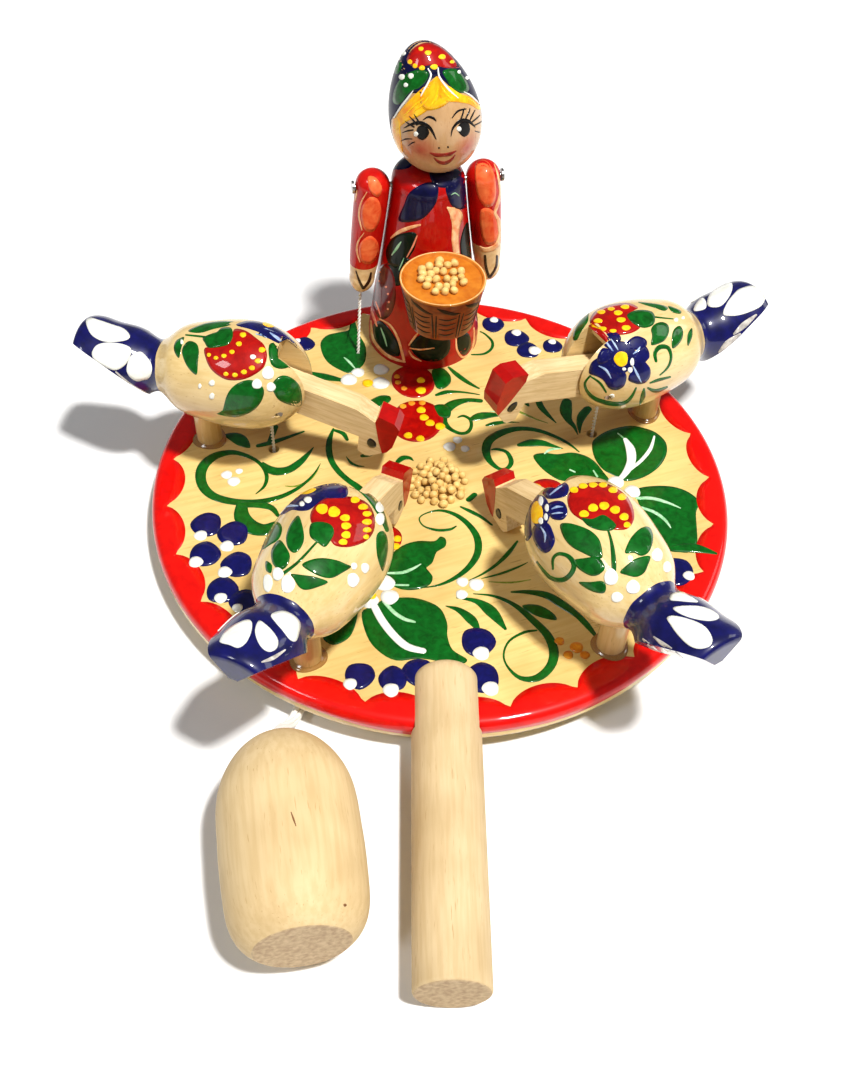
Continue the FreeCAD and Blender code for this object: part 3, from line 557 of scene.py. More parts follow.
scalloped_edge()
GREEN_PULLS = marks("""
-49.6,-6,.3 -47.6,-3.2,.9 -47.2,.5,1.1 -48.8,4.4,1.1 -52,7.4,1.2 -57,9.3,1.8 -61.6,8,2.6 -64.4,4.6,3 \
-65,.4,2.9 -63.6,-4,2.7 -60.4,-7.2,2.5 -55,-8.9,2.3 -49,-8.9,2 -43.5,-7.2,1.6 -39.5,-4.6,1.2 -36.6,-1.6,.9 \
-34.4,1.8,.6 -33,5.4,.2
-48.6,5.4,.8 -46.8,3.2,2.6 -44.4,2.3,3 -41.4,3.1,2.6 -38.8,5.6,2.2 -36.8,8.6,1.4 -35.2,11.6,.3
-30,19,.6 -30.8,15,1.5 -30.9,11,1.8 -30,6.6,1.7 -27.9,2.6,1.7 -25.2,-.6,1.7 -22,-3.6,1.9 -19,-8,1.4
-29.6,18.4,1 -27.2,17.2,1.4 -26,14.8,1
-26,8.2,.2 -24.6,5.9,.8 -22.8,4.8,.7 -21,4.6,.2
-53,-10,3 -52.6,-14,4.2 -50.2,-17.4,4.6 -46.6,-18.6,4 -43.5,-17,3
-52.5,-9.8,2.2 -48.5,-9.8,2.4 -45,-11,1.8 -43.2,-13.6,1
-50.4,12,1.4 -46.6,13.4,1.6 -42.6,15.4,1.2 -38.2,17.8,.6
-46.4,19.4,2 -46.8,16.4,1.6 -47.4,13,1.6
-21.6,8.6,1.2 -19.4,9.4,1.6 -17.8,11.6,.6
-11.8,6.6,1.4 -10.4,8,1.8 -8.6,8,1.2 -7.6,7,.3
11.8,31.2,1.6 8,31.4,1.8 4,29.8,3 1.4,26.6,3.2 1,23,2.2 2.6,19.8,1.4 5.4,17.9,1.2 7.6,18.3,1.2 8.8,20.6,1 \
8.6,23.4,1 6.8,24.9,1 5.2,24.3,.5
9,23.6,1.6 11.4,24.8,3 14.6,25.4,2.2 18,25.4,.8 21,24.9,.2
13.2,21.2,.8 15.6,22,1.6 18.6,22.6,1 22.5,22.6,.2
3,45.4,.8 5.4,42.2,1.6 8.4,39,1.4 11.6,36.4,.6
-.8,33.4,1 1.8,34.6,1.6 5,34.9,1 8.4,34.5,.7 11.6,33.8,.4
10,51.2,.6 13.6,51.6,.9 16,54,.9 16.4,57.2,.9 14.6,60.4,.7 13,61.8,.5
38.5,11.2,.4 35.8,14.4,.9 31.8,17.4,1.2 27,19.6,1.5 22,20,1.8 17.4,18.4,2.4 13.8,15.4,2.6 12.6,11.4,2.4 \
13.4,7.4,1.8 15.8,4.4,1.2 18,4.4,1.2 19.4,7,1.4 18.4,10.6,1.2 15.8,11.8,1 14.2,11.6,.5
22,13.6,1.4 25.2,14.4,2.8 28.4,14.4,2.4 31.4,13.4,1.2 34,12.4,.3
23.4,33,1.6 24.4,31.6,2.2 25.6,29.4,.6
28.4,32.6,1.8 29.2,29,2 31.2,25.4,1.2 33,22.6,.3
36.8,31.2,3 36.2,27.6,3.6 36.6,24,2.2 38,21.2,1.2 38.8,18,.3
42.6,28.4,2.4 40.6,25.4,2.6 39.6,22,1.6 39.4,18.6,.4
-37,42,1.2 -33,40.4,2.6 -28.5,39.2,1.4
-5.6,-37.2,.2 -1.2,-36.2,.7 3,-33.8,1.2 6.6,-30.2,1.6 8.9,-25.6,1.9 9,-20.6,1.9 7,-16.2,1.6 3.8,-12.8,1.3 \
0,-11.2,.9 -3.4,-11.8,.5 -6,-13.8,.4 -5,-16.6,.5 -1.6,-18,.9 1.8,-17.8,.9 3.6,-16.6,.4
6.4,-34.6,.2 9.8,-32.6,.6 13.6,-29.4,.9 16.8,-25.6,1.2 19.4,-21.6,.6
9.6,-34,.2 14.4,-32.4,.7 19,-30.2,.6 21.6,-28.6,.2
17,-38.2,.6 21.4,-38.2,1.4 25.8,-39.2,2.2 29.4,-42,2.4 32.8,-45.2,1.8 35.2,-48.6,1.6 37.4,-52.6,.6
7.4,-38.9,.3 12.6,-39.6,.8 17.6,-42.4,1.3 21.8,-47,1.9 25,-51.4,2.2 26.2,-56.2,2.4 25,-60.6,2.2 \
21.6,-63.9,2 17.6,-63.9,1.2 14.8,-60.8,.6 14,-57.2,.5 15.6,-53.2,.6 19.4,-50.6,.8 22.4,-50,.5
3.2,-40.2,.4 8,-41.2,1.6 11.6,-44.4,3.2 14.8,-49.6,.8
.4,-42.8,.3 3.6,-44,1.6 6.6,-47,2.6 8.2,-50,1
5,-9.8,.6 7.6,-11.4,1.2 10.4,-13.4,1 13,-16,.6
8.8,-5.4,1.6 7.2,-7.2,1.6
41,-31,1 45,-36,2.4 47.4,-42,1.2 48,-47,.3
36,-24,.3 40,-27,1.4 42,-31,1
50,36,.4 46,40,1.6 41,43.6,2.2 36,45,.8
""")
GREEN_LEAVES = marks("""
-60.2,16.2 -56.6,16.9 -53.8,15 -52.6,11.2 -55.6,11.8 -58,13.6
25.6,9.4 28.6,10.6 32.4,10.2 36.4,10.9 40,9.8 42.6,7.4 44.6,3.4 45.6,.4 41,.6 36.4,-.2 32.6,.2 30.4,1.6 27.4,5
42.4,14.2 42.6,9 44.5,4.5 48,1.8 50.5,.2 55.4,1.8 60,5.6 62.8,10.4 63.4,15 61.6,18.6 58.8,20.6 54,21.8 48,20 44,17
52.8,-3 57.5,-1.4 63,-1.6 67,-3.6 69.2,-7 67.8,-11 67.2,-16 66.4,-21.5 64,-24.6 61.4,-24.7 58.8,-24.2 \
57.8,-21 55,-14 53,-9
-26.3,68 -26.8,62 -30,60.5 -33.5,59 -35.3,55.5 -34.5,50.5 -32.5,46.5 -29,43.5 -26,42.3 -22.5,45.5 -21.5,50 \
-22,55 -24,60 -25.3,66
-20,30.2 -18.5,32 -16.5,33 -14.3,32.6 -14.2,30.5 -17.5,27.8
-14.2,-32 -13.6,-27 -10.4,-23.4 -6.4,-21.8 -2.2,-21.8 -.6,-20.2 .8,-21.2 .6,-23.6 -1.6,-25.4 -2.8,-29 \
-4.4,-31 -2.8,-33.4 -3.6,-36.2 -7,-37.8 -11,-37.6 -14.4,-35.2
-20.4,-45 -17.4,-43 -15,-41 -9,-40.2 -4.6,-41.2 -1,-43.6 .6,-48 .6,-52 1.8,-56 5.2,-58.8 2.6,-60.2 \
-5.6,-58.6 -11.8,-59.2 -16.2,-56.4 -19,-52
-21.6,-44.4 -22,-49.4 -23.6,-53 -27,-54.8 -29.6,-52.6 -26,-49.6
19.4,-42.4 23.4,-42.2 26.8,-44.6 27.6,-46.8 24.2,-46.2 21,-44.6
""")
paint("green_scrolls", "base", green, on_board, GREEN_LIFT,
      [stroke(row) for row in GREEN_PULLS] + [blob(row) for row in GREEN_LEAVES])
paint("leaf_tip", "base", green, on_board, LEAF_TIP_LIFT,
      [stroke([(60, -23.4, 2.0), (64.5, -23.2, 3.2), (67.6, -23.8, 2.4), (70.8, -25.0, 0.8)])])
paint("olive_scrolls", "base", olive, on_board, OLIVE_LIFT, strokes("""
-42,-3,.3 -39.5,-3.1,.6 -37,-2,.8 -35,.2,.7 -33.7,3,.5 -33,5.5,.2
19.8,28.8,.5 23.6,26.4,.8 27,24.2,.6 30.6,22.4,.2
11.4,-35,.2 17,-35.2,.6 22,-34.2,.2
"""))
paint("leaf_lights", "base", pale_green, on_board, LEAF_LIGHT_LIFT, strokes("""
28.8,10.3,.4 30.6,11.9,.9 33.4,12.3,.4
41.8,4,.4 42.6,1.8,.6
35.4,4.2,.5 36.6,3.4,.5
50.2,18.6,.4 51.4,17,.5
52.6,-6,.9 56.6,-6,1.1 60.4,-7.4,.9 63.8,-9.4,.3
53.4,-9.4,.8 56.6,-11,1 59,-13.6,.9 60.2,-16.4,.3
-28,49,.3 -26.4,47,.8 -24.5,44,.3
-14.4,-32.6,.6 -10.6,-32.4,.9 -8,-31.2,.8 -5.8,-29.6,.3
-12.6,-36.4,.5 -9,-36.4,.6
-15,-41.6,.9 -12.4,-45,1 -9.8,-47,1 -7.4,-47.8,.6
14.4,26.9,.2 17.6,26.6,.6 21,25.8,.2
"""))


def berry(x, y, wide, tall, lean=0.0):
    """A strawberry's body: broad at the stalk and blunt at the tip."""
    form = ((0, 1.0), (0.72, 0.74), (1.0, 0.06), (0.78, -0.62), (0.3, -0.96), (-0.3, -0.96),
            (-0.78, -0.62), (-1.0, 0.06), (-0.72, 0.74))
    return blob([(x + wide * a * math.cos(lean) - tall * b * math.sin(lean),
                  y + wide * a * math.sin(lean) + tall * b * math.cos(lean)) for a, b in form])


paint("strawberries", "base", berry_red, on_board, RED_LIFT,
      [berry(-7.5, 39, 6.3, 7.0, 0.3), berry(-6.5, 22.6, 7.4, 8.4, -0.2), berry(-15.6, -21.4, 5.2, 4.6, 0.4),
       berry(28.5, -4, 4.8, 4.8)])
paint("calyxes", "base", green, on_board, CALYX_LIFT,
      [blob(row) for row in marks("""
-2,44 1,45 3.3,42 3.3,38.5 1,36 -1,37
-1.4,29 1.5,29.4 3.2,27 2.6,24 .2,24.4 -.8,26
""")])
BERRIES = marks("""
-61.5,-17,4 -62.6,-20.8,1.7
-54.3,-20,4 -55.5,-24.3,1.8
-60.8,-27,4 -62.8,-29.6,1.8
-52.4,-30.3,4 -55.2,-32.8,1.8
-55.2,-38.5,4 -55.4,-41,1.6
-49.5,-42,3.7 -51,-44,1.3
-40,54.8,3 -42.3,56.3,1
17,65.2,3.4 17.4,67.4,1.3
23.8,59,3.8 24,61.6,1.5
27,53.5,3.4 29,53.4,1.9
34.5,55.6,3 34.6,57.6,1.2
8,-53.6,4.2 8.6,-57,2
8.5,-64,4.2 10.4,-67,2
-6.6,-62.5,3.8 -5.6,-65.6,1.7
-12.6,-64.4,3.4 -13,-67.6,1.9
-20.4,-63.6,3.6 -22.6,-66,1.6
59.6,-31,4.4 62.6,-32.5,1.5
54.6,-37.5,3.6 56.4,-40,1.3
""")
paint("navy_berries", "base", navy, on_board, NAVY_LIFT,
      [dot(*row[0], 1.04) for row in BERRIES])
paint("yellow_dabs", "base", yellow, on_board, YELLOW_DAB_LIFT, dots("""
-5.3,39.5,1.2
-5.3,35.2,1.5
-5.3,27,1.3
-4.5,24,1.3
-2.8,21.8,1.3
0,20.5,1.4
-9,16.7,1.2
-5.6,15.5,1.2
-18.3,-39.7,1.4
-20.8,38,1.6
-11.8,-21.2,1.1
-12.2,-23.7,1.1
25.7,-2.4,1.3
30.6,-6,1.2
"""))
# Yellow seeds and dots where shade falls on them, painted darker orange: painted shade.
paint("yellow_dabs_in_painted_shade", "base", orange, on_board, YELLOW_LIFT, dots("""
-12.3,41,.9
-12,38.5,.9
-10.2,36,.9
-8,29.8,1
-5,30,1
-10.5,28.5,1
27.8,-53.2,1.2
31.8,-55,1.6
29.6,-57.2,1.2
33.6,-57.2,1.2
"""))
WHITE_DABS = marks("""
47.6,-.2,2.2
51.6,-3.6,2.2
-58,.8,1.5
-55.9,-1.6,1.7
-54.8,2.2,1
2.5,12.5,1.7
4.8,15.2,1.3
6.8,11.8,1.2
4.7,-35.2,1.5
8.2,-36,1.9
4.4,-39.2,1.5
-14.8,-35.8,2.5
-13.6,-40.2,2.3
-18.6,-41.4,2.3
-26.3,39.3,2.4
-23.7,42.5,1.9
-17,44,2.3
-17,38,2.5
""")
WHITE_PULLS = marks("""
52,16.2,1.2 53,12.4,2.6 52.6,7.6,2.4 50.6,3.4,1.8 48.4,.6,1.2
60.4,17.6,.5 58.6,12.6,1 55.4,8,1 52,4.6,.9 49.8,1.8,.6
-17.6,-42.6,1.8 -15.4,-47.4,2 -12.4,-52,2 -9.2,-55.2,2 -5.4,-56.4,1.6
""")
paint("white_dabs", "base", white, on_board, WHITE_LIFT,
      [dot(*row[1]) for row in BERRIES] + [dot(*row[0]) for row in WHITE_DABS]
      + [stroke(row) for row in WHITE_PULLS])

# Grain on the board: a heap of millet glued down in the middle, where the beaks come down.
# The grains are pale and dull, with a warmer hull, and lie as they fell.
millet = timber("millet", tint(236, 204, 132), tint(222, 180, 100), tint(190, 140, 70),
                rough=0.5, coat=0.25, lines=1500.0)
MILLET = 1.15


def one_grain(middle, size, seed):
    """A grain: a round body, a little longer than wide, with a small flat where it sprouted."""
    rings, around = 7, 12
    lean = Matrix.Rotation(seed * 2.3, 3, "Z") @ Matrix.Rotation(seed * 1.7, 3, "X")
    points = []
    for i in range(rings + 1):
        polar = math.pi * i / rings
        for k in range(around):
            angle = 2 * math.pi * k / around
            spot = Vector((math.sin(polar) * math.cos(angle), math.sin(polar) * math.sin(angle) * 0.94,
                           math.cos(polar) * (1.14 if polar > 0.6 else 1.0)))
            spot *= 1 + 0.05 * math.sin(3 * angle + seed) * math.sin(polar)
            points.append((Vector(middle) + lean @ spot * size) * MM)
    faces = [(i * around + k, (i + 1) * around + k,
              (i + 1) * around + (k + 1) % around, i * around + (k + 1) % around)
             for i in range(rings) for k in range(around)]
    return points, faces


def grain_heap(name, node, middle, floor, reach, count, layers, seed):
    """Grains dropped one by one where they fit, the later ones on the earlier."""
    dice = random.Random(seed)
    laid = []
    for layer in range(layers):
        wide = reach * (1 - 0.34 * layer)
        tries = 0
        while tries < 2500 and len(laid) < count:
            tries += 1
            angle, far = dice.uniform(0, 2 * math.pi), wide * math.sqrt(dice.random()) * dice.uniform(0.8, 1.06)
            x, y = middle[0] + far * math.cos(angle), middle[1] + far * math.sin(angle)
            z = floor + MILLET * (0.72 + 1.25 * layer) + dice.uniform(-0.1, 0.1)
            if all((x - a) ** 2 + (y - b) ** 2 + (z - c) ** 2 > (MILLET * 1.66) ** 2 for a, b, c in laid):
                laid.append((x, y, z))
    points = []
    faces = []
    for i, spot in enumerate(laid):
        some, sides = one_grain(spot, MILLET * dice.uniform(0.86, 1.06), i * 1.31)
        faces += [tuple(len(points) + k for k in side) for side in sides]
        points += some
    heap = mesh_piece(name, points, faces, "base", millet)
    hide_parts(node)


heap_low, heap_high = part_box("board_grain")
heap_middle = (heap_low + heap_high) / 2 / MM
grain_heap("millet_heap", "board_grain", heap_middle, BOARD_TOP, reach=7.9, count=96, layers=3, seed=4)

# Handle: a turned rod of bare linden, slotted and glued over the board's rim. It is left raw,
# so the lathe's fine rings and the grain show, and the cut end is darker.
bare_wood = timber("bare_linden", tint(212, 188, 146), tint(204, 178, 134), tint(182, 150, 104),
                   turn=(0, 0, math.pi / 2), rough=0.7, lines=1100.0)
dress("handle", bare_wood)
SAWN_DEEP = 0.00015


def past(tree, source, output, operation, limit):
    """A mask that is 1 where a value lies past a limit."""
    mask = add_node(tree, "Math", operation=operation)
    mask.inputs[1].default_value = limit
    link(tree, source, output, mask, 0)
    return mask


def overlay(tree, mask, colour):
    """Lay a second colour over a finish's own, where a mask says so."""
    shader = tree.nodes["Principled BSDF"]
    own = shader.inputs["Base Color"].links[0].from_socket
    both = add_node(tree, "MixRGB")
    link(tree, mask, "Value", both, "Fac")
    tree.links.new(own, both.inputs["Color1"])
    link(tree, colour, "Color", both, "Color2")
    link(tree, both, "Color", shader, "Base Color")


def end_grain(finish, node, outward):
    """Darkens a turned piece's sawn end, where the wood's pores stand open."""
    low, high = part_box(node)
    face = skin(node).ray_cast((low + high) / 2 + outward * 0.2, -outward)[0]
    tree = finish.node_tree
    where = add_node(tree, "TexCoord")
    along = add_node(tree, "VectorMath", operation="DOT_PRODUCT")
    along.inputs[1].default_value = outward
    link(tree, where, "Object", along, 0)
    sawn = past(tree, along, "Value", "GREATER_THAN", face.dot(outward) - SAWN_DEEP)
    swirl = add_node(tree, "TexNoise", Scale=900.0, Detail=4.0, Distortion=0.3)
    link(tree, where, "Object", swirl, "Vector")
    tone = blend_colours(tree, tint(166, 138, 104), tint(200, 174, 136), start=0.32, end=0.68)
    link(tree, swirl, "Fac", tone, "Fac")
    overlay(tree, sawn, tone)


end_grain(bare_wood, "handle", Vector((0, -1, 0)))

# Legs: round dowels glued into the board and the belly, varnished with the hens. The varnish
# ran down and stands in a small brown pool round each foot.
leg_wood = timber("leg_varnish", tint(222, 190, 130), tint(210, 174, 110), tint(170, 128, 70),
                  turn=(0, math.pi / 2, 0), rough=0.4, coat=0.6)
varnish_pool = mottled("varnish_pool", tint(120, 78, 28), tint(176, 130, 66), scale=900.0,
                       rough=0.2, Coat_Weight=0.8, Coat_Roughness=0.05)
# Each hen: its bearing and its way from the board's middle, how it is turned and tipped, and its
# neck's slope.
HEN_PLACES = {"back_left": (167.0, 65.6, 0.5, 1.0, -17.0), "front_left": (240.5, 67.0, 5.5, -6.5, -11.5),
              "front_right": (306.5, 67.4, -5.5, -5.0, -20.5), "back_right": (25.0, 64.8, 4.5, 3.0, 14.0)}
LEG_RADIUS = 3.5
for name, (bearing, reach, *_) in HEN_PLACES.items():
    dress(name + "_leg", leg_wood)
    x, y = reach * math.cos(math.radians(bearing)), reach * math.sin(math.radians(bearing))
    points = []
    faces = []
    count = 32
    for rise, wide in ((-0.05, 1.1), (0.12, 1.1), (0.3, 0.55), (0.62, 0.12), (0.9, -0.15)):
        for k in range(count):
            angle = 2 * math.pi * k / count
            edge = LEG_RADIUS + wide * (1 + 0.25 * math.sin(3 * angle + bearing))
            points.append(Vector((x + edge * math.cos(angle), y + edge * math.sin(angle), BOARD_TOP + rise)) * MM)
    for row in range(4):
        faces += band(row * count, (row + 1) * count, count)
    faces += [tuple(reversed(range(count))), tuple(4 * count + k for k in range(count))]
    mesh_piece(name + "_varnish_pool", points, faces, "base", varnish_pool)

# Hens: turned eggs with a waist and a flared tail, slotted for the neck and planed under the
# tail. The egg is clear varnished linden, the tail is dipped in navy. A strawberry lies on
# each back, with a navy flower in front of it, leaves round both, and white dots.
EGG_AXIS = math.radians(3.4)
WAIST = (-10.6, 0.0, 24.7)
WAIST_RADIUS = 6.9
EGG_RADIUS = 14.1
EGG_WIDEST = 24.1
CROWN_LONG = 16.8
SWAY = Vector((0, 0, 18.0))
SLOT_SIDE = 3.7 + 0.15
SLOT_END = 21
SLOT_DEEP = 0.5
PROBE_START, EGG_DEPTH, TAIL_DEPTH = 0.003, 0.009, 0.025
PHOTO_MIDDLE_X, PHOTO_MIDDLE_Y, PHOTO_FOCUS = 427.5, 535.5, 1200
PIXEL_STEP = 4
LEAF_LIFT, FACET_HIGHLIGHT_LIFT, FRUIT_LIFT, PETAL_LIFT, STALK_LIFT, GLEAM_LIFT = 0.04, 0.05, 0.06, 0.07, 0.085, 0.1


def in_sight(node, brim=None):
    """Lays paint on a solid where a spot of the photograph, in its pixels, falls on it.

    A sight line that misses is turned toward the solid's middle, and a brim may move the spot.
    """
    surface = skin(node)
    low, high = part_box(node)
    middle = ((low + high) / 2 - CAMERA_SPOT).normalized()
    kept = {}

    def place(px, py, lift):
        if (px, py) not in kept:
            aim = across * (px - PHOTO_MIDDLE_X) - upward * (py - PHOTO_MIDDLE_Y) - back * PHOTO_FOCUS
            ray = aim.normalized()
            hit, normal, _, _ = surface.ray_cast(CAMERA_SPOT, ray)
            for step in range(60):
                if hit is None:
                    ray = (ray + middle * 0.004).normalized()
                    hit, normal, _, _ = surface.ray_cast(CAMERA_SPOT, ray)
            if brim:
                hit, normal = brim(hit, normal, ray)
            kept[px, py] = hit, normal
        hit, normal = kept[px, py]
        return hit + normal * lift * MM
    return place


def egg_outline(s):
    """The turned outline's radius, a distance from the waist along the egg."""
    if s >= 0:
        if s > EGG_WIDEST:
            return EGG_RADIUS * math.sqrt(max(0.0, 1 - ((s - EGG_WIDEST) / CROWN_LONG) ** 2))
        back_long = EGG_WIDEST / math.sqrt(1 - (WAIST_RADIUS / EGG_RADIUS) ** 2)
        return EGG_RADIUS * math.sqrt(1 - ((s - EGG_WIDEST) / back_long) ** 2)
    tail = ((-20.4, 11.3), (-12.7, 10.4), (-5, 8.9), (0, WAIST_RADIUS))
    for (s0, r0), (s1, r1) in zip(tail, tail[1:]):
        if s <= s1:
            return r0 + (r1 - r0) * (s - s0) / (s1 - s0)


def hen_stand(name):
    """Where a hen stands on the board."""
    bearing, reach, turn, tip, _ = HEN_PLACES[name]
    angle = math.radians(bearing)
    return (Matrix.Translation((reach * math.cos(angle), reach * math.sin(angle), BOARD_TOP))
            @ Matrix.Rotation(angle + math.pi + math.radians(turn), 4, "Z") @ Matrix.Translation(SWAY)
            @ Matrix.Rotation(math.radians(-tip), 4, "Y") @ Matrix.Translation(-SWAY))


def egg_turn(name):
    """The egg's own frame in metres: X along the egg from the waist, Z up."""
    stand = hen_stand(name) @ Matrix.Translation(WAIST) @ Matrix.Rotation(-EGG_AXIS, 4, "Y")
    return Matrix.Translation(stand.translation * MM) @ stand.to_3x3().to_4x4()


def on_egg(name):
    """Lays paint on a hen: s along the egg, arc across its back, both in millimetres."""
    surface = skin(name + "_hen_body")
    frame_of_egg = egg_turn(name)
    turn = frame_of_egg.to_3x3()
    kept = {}

    def place(s, arc, lift):
        if (s, arc) not in kept:
            angle = arc / EGG_RADIUS
            out = turn @ Vector((0, math.sin(angle), math.cos(angle)))
            round_it = egg_outline(s)
            spot = frame_of_egg @ (Vector((s, round_it * math.sin(angle), round_it * math.cos(angle))) * MM)
            depth = EGG_DEPTH if s > 0 else TAIL_DEPTH
            hit, normal, _, gap = surface.ray_cast(spot + out * PROBE_START, -out, depth)
            # A ray that misses, or runs into the slot, keeps the turned outline.
            if hit is None or (s > -4 and gap > 0.0045):
                hit, normal = spot, out
            kept[s, arc] = hit, (normal * 0.6 + out * 0.4).normalized() if s > 0 else normal
        hit, normal = kept[s, arc]
        return hit + normal * lift * MM
    return place


def slot_brim(name, near=0):
    """Moves a spot that falls into the neck's slot, or past it from the near side, to its brim."""
    frame_of_egg = egg_turn(name)
    home = frame_of_egg.inverted()

    def brim(hit, normal, ray):
        spot = home @ hit / MM
        outside = math.hypot(spot.y, spot.z) > egg_outline(spot.x) - SLOT_DEEP
        if spot.x < SLOT_END or (outside and spot.y * near >= 0):
            return hit, normal
        inward = home.to_3x3() @ ray
        while spot.x > 2 and math.hypot(spot.y, spot.z) < egg_outline(spot.x):
            spot = spot - inward * 0.2
        side = math.copysign(SLOT_SIDE, near or spot.y)
        round_it = egg_outline(spot.x)
        spot = Vector((spot.x, side, math.sqrt(max(round_it ** 2 - side ** 2, 1.0))))
        return frame_of_egg @ (spot * MM), (frame_of_egg.to_3x3() @ Vector((0, spot.y, spot.z))).normalized()
    return brim


def hen_finish(name):
    """Varnished linden with the tail dipped in navy up to the waist."""
    frame_of_egg = egg_turn(name)
    finish = timber(name + "_hen_varnish", tint(228, 200, 142), tint(220, 190, 128), tint(186, 148, 88),
                    turn=frame_of_egg.to_euler(), place=frame_of_egg.translation, rough=0.36, coat=0.85)
    tree = finish.node_tree
    where = add_node(tree, "TexCoord")
    along = add_node(tree, "Mapping", vector_type="TEXTURE", Location=frame_of_egg.translation,
                     Rotation=frame_of_egg.to_euler())
    split = add_node(tree, "SeparateXYZ")
    link(tree, where, "Object", along, "Vector")
    link(tree, along, "Vector", split, "Vector")
    ripple = add_node(tree, "TexNoise", Scale=160.0, Detail=1.0)
    link(tree, where, "Object", ripple, "Vector")
    wave = add_node(tree, "Math", operation="MULTIPLY_ADD")
    wave.inputs[1].default_value = 0.0012
    link(tree, ripple, "Fac", wave, 0)
    link(tree, split, "X", wave, 2)
    dipped = past(tree, wave, "Value", "LESS_THAN", 0.0021)
    brush = add_node(tree, "TexNoise", Scale=420.0, Detail=3.0)
    link(tree, where, "Object", brush, "Vector")
    blue = blend_colours(tree, tint(4, 6, 62), tint(12, 14, 88), start=0.32, end=0.68)
    link(tree, brush, "Fac", blue, "Fac")
    overlay(tree, dipped, blue)
    return finish
